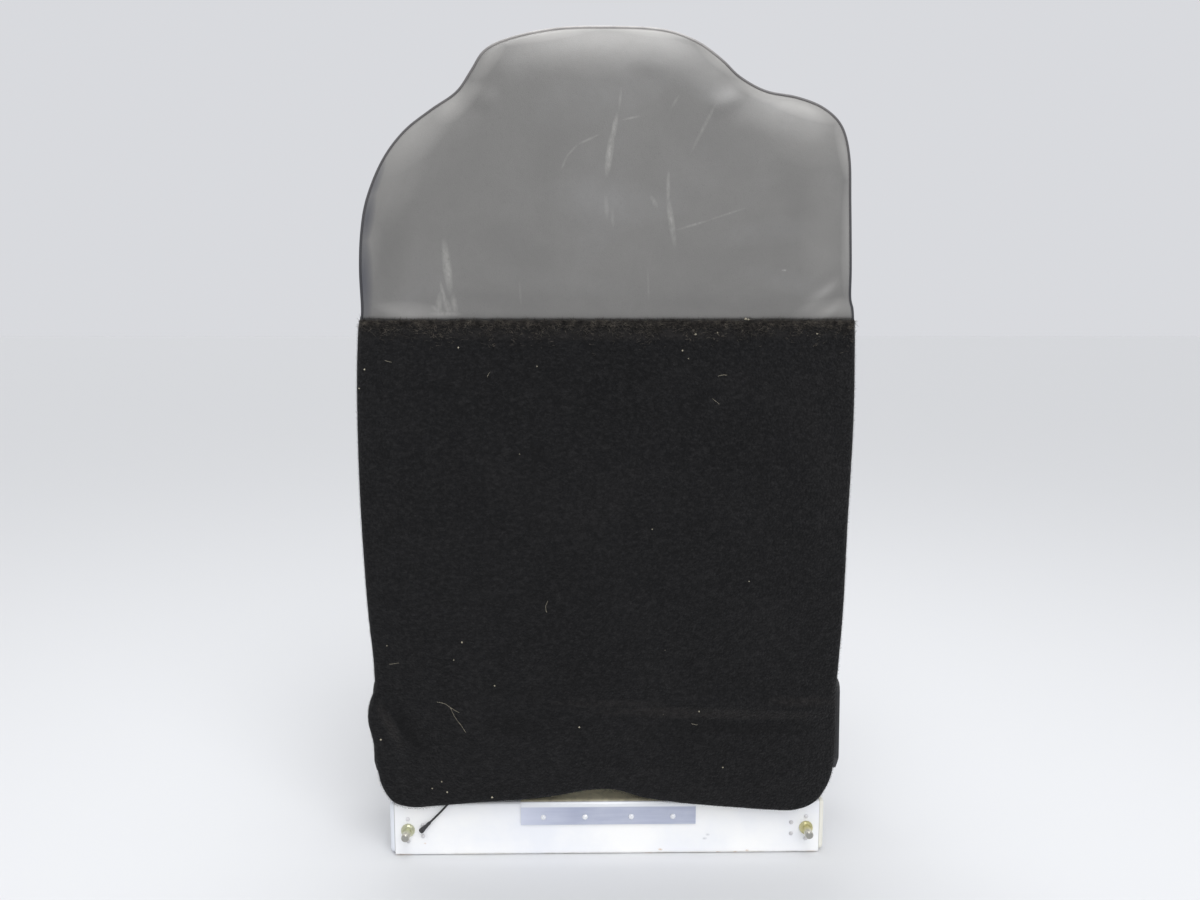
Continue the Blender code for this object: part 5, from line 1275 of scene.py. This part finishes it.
def build_seat_pad():
    """The seat cushion: a boxed leather pad, sewn into side bolsters and cross panels."""
    sunk = 8
    # Each loop's margin inside the outline, and its height as a share of the top's
    rings = ((3, 0), (1, 0.06), (1.5, 0.5), (1, 0.80), (3, 0.92), (9, 1.0), (24, 1.0), (60, 1.0))
    loops = []
    for margin, share in rings:
        edge = seat_outline(margin)
        top = seat_top(edge[:, 1]) - (sunk if margin > 5 else 0.4 * sunk)
        z = SEAT_BOTTOM + share * (top - SEAT_BOTTOM)
        loops.append(on_seat(edge, z))
    item = lofted("seat_pad", loops, LEATHER)

    def gap_of(points):
        place = np.stack([points[:, 0] / MM, (points[:, 1] - REAR_FACE_Y) / MM], axis=1)
        return seam_gap(place, SEAT_SEAMS), place

    def held(points):
        low = np.clip((SEAT_BOTTOM + 10 - points[:, 2] / MM) / 8, 0, 1)
        gap, place = gap_of(points)
        below = points[:, 2] / MM < seat_top(place[:, 1]) - sunk - 6
        neck = (place[:, 1] < SEAT_REAR_Y + 4) & below
        return np.maximum(np.maximum(low, neck), np.clip(1.6 - gap / 3, 0, 1))

    def limit(points):
        gap, place = gap_of(points)
        above = np.clip((points[:, 2] / MM - seat_top(place[:, 1]) + sunk + 10) / 8, 0, 1)
        return (above * pillow(gap, 38, sunk) + (1 - above) * 0.8) * MM

    inflate(item, 5 * MM, held, limit)
    points = vertices_of(item)
    gap, place = gap_of(points)
    top = points[:, 2] / MM > seat_top(place[:, 1]) - sunk - 4
    points[:, 2] -= np.where(top, 2.2 * np.exp(-(gap / 1.6) ** 2), 0) * MM
    points[:, 2] = np.maximum(points[:, 2], SEAT_BOTTOM * MM)
    set_vertices(item, points)
    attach(item, "base")
    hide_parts("seat_cushion")
    threads = seam_threads(
        item, SEAT_SEAMS, lambda x, y: (x * MM, y * MM + REAR_FACE_Y, 0.13), (0, 0, -1))
    stitches("seat_stitches", threads, "base")
    edge = seat_outline(2.6)
    places = on_seat(edge, seat_top(edge[:, 1]) - 12)
    welt = tube("seat_piping", places, 2.2 * MM, DARK_LEATHER, "base", closed=True)


finish_nodes()
build_camera()
build_cord()
BACK_EDGE = smooth(BACK_OUTLINE, 6)
build_rear_leather(BACK_EDGE)
build_fibres(build_carpet(BACK_EDGE))
build_lint()
build_welt(BACK_EDGE)
build_back_pad()
build_seat_pad()
build_stage()
build_sky()

bpy.context.scene.view_settings.view_transform = "Standard"
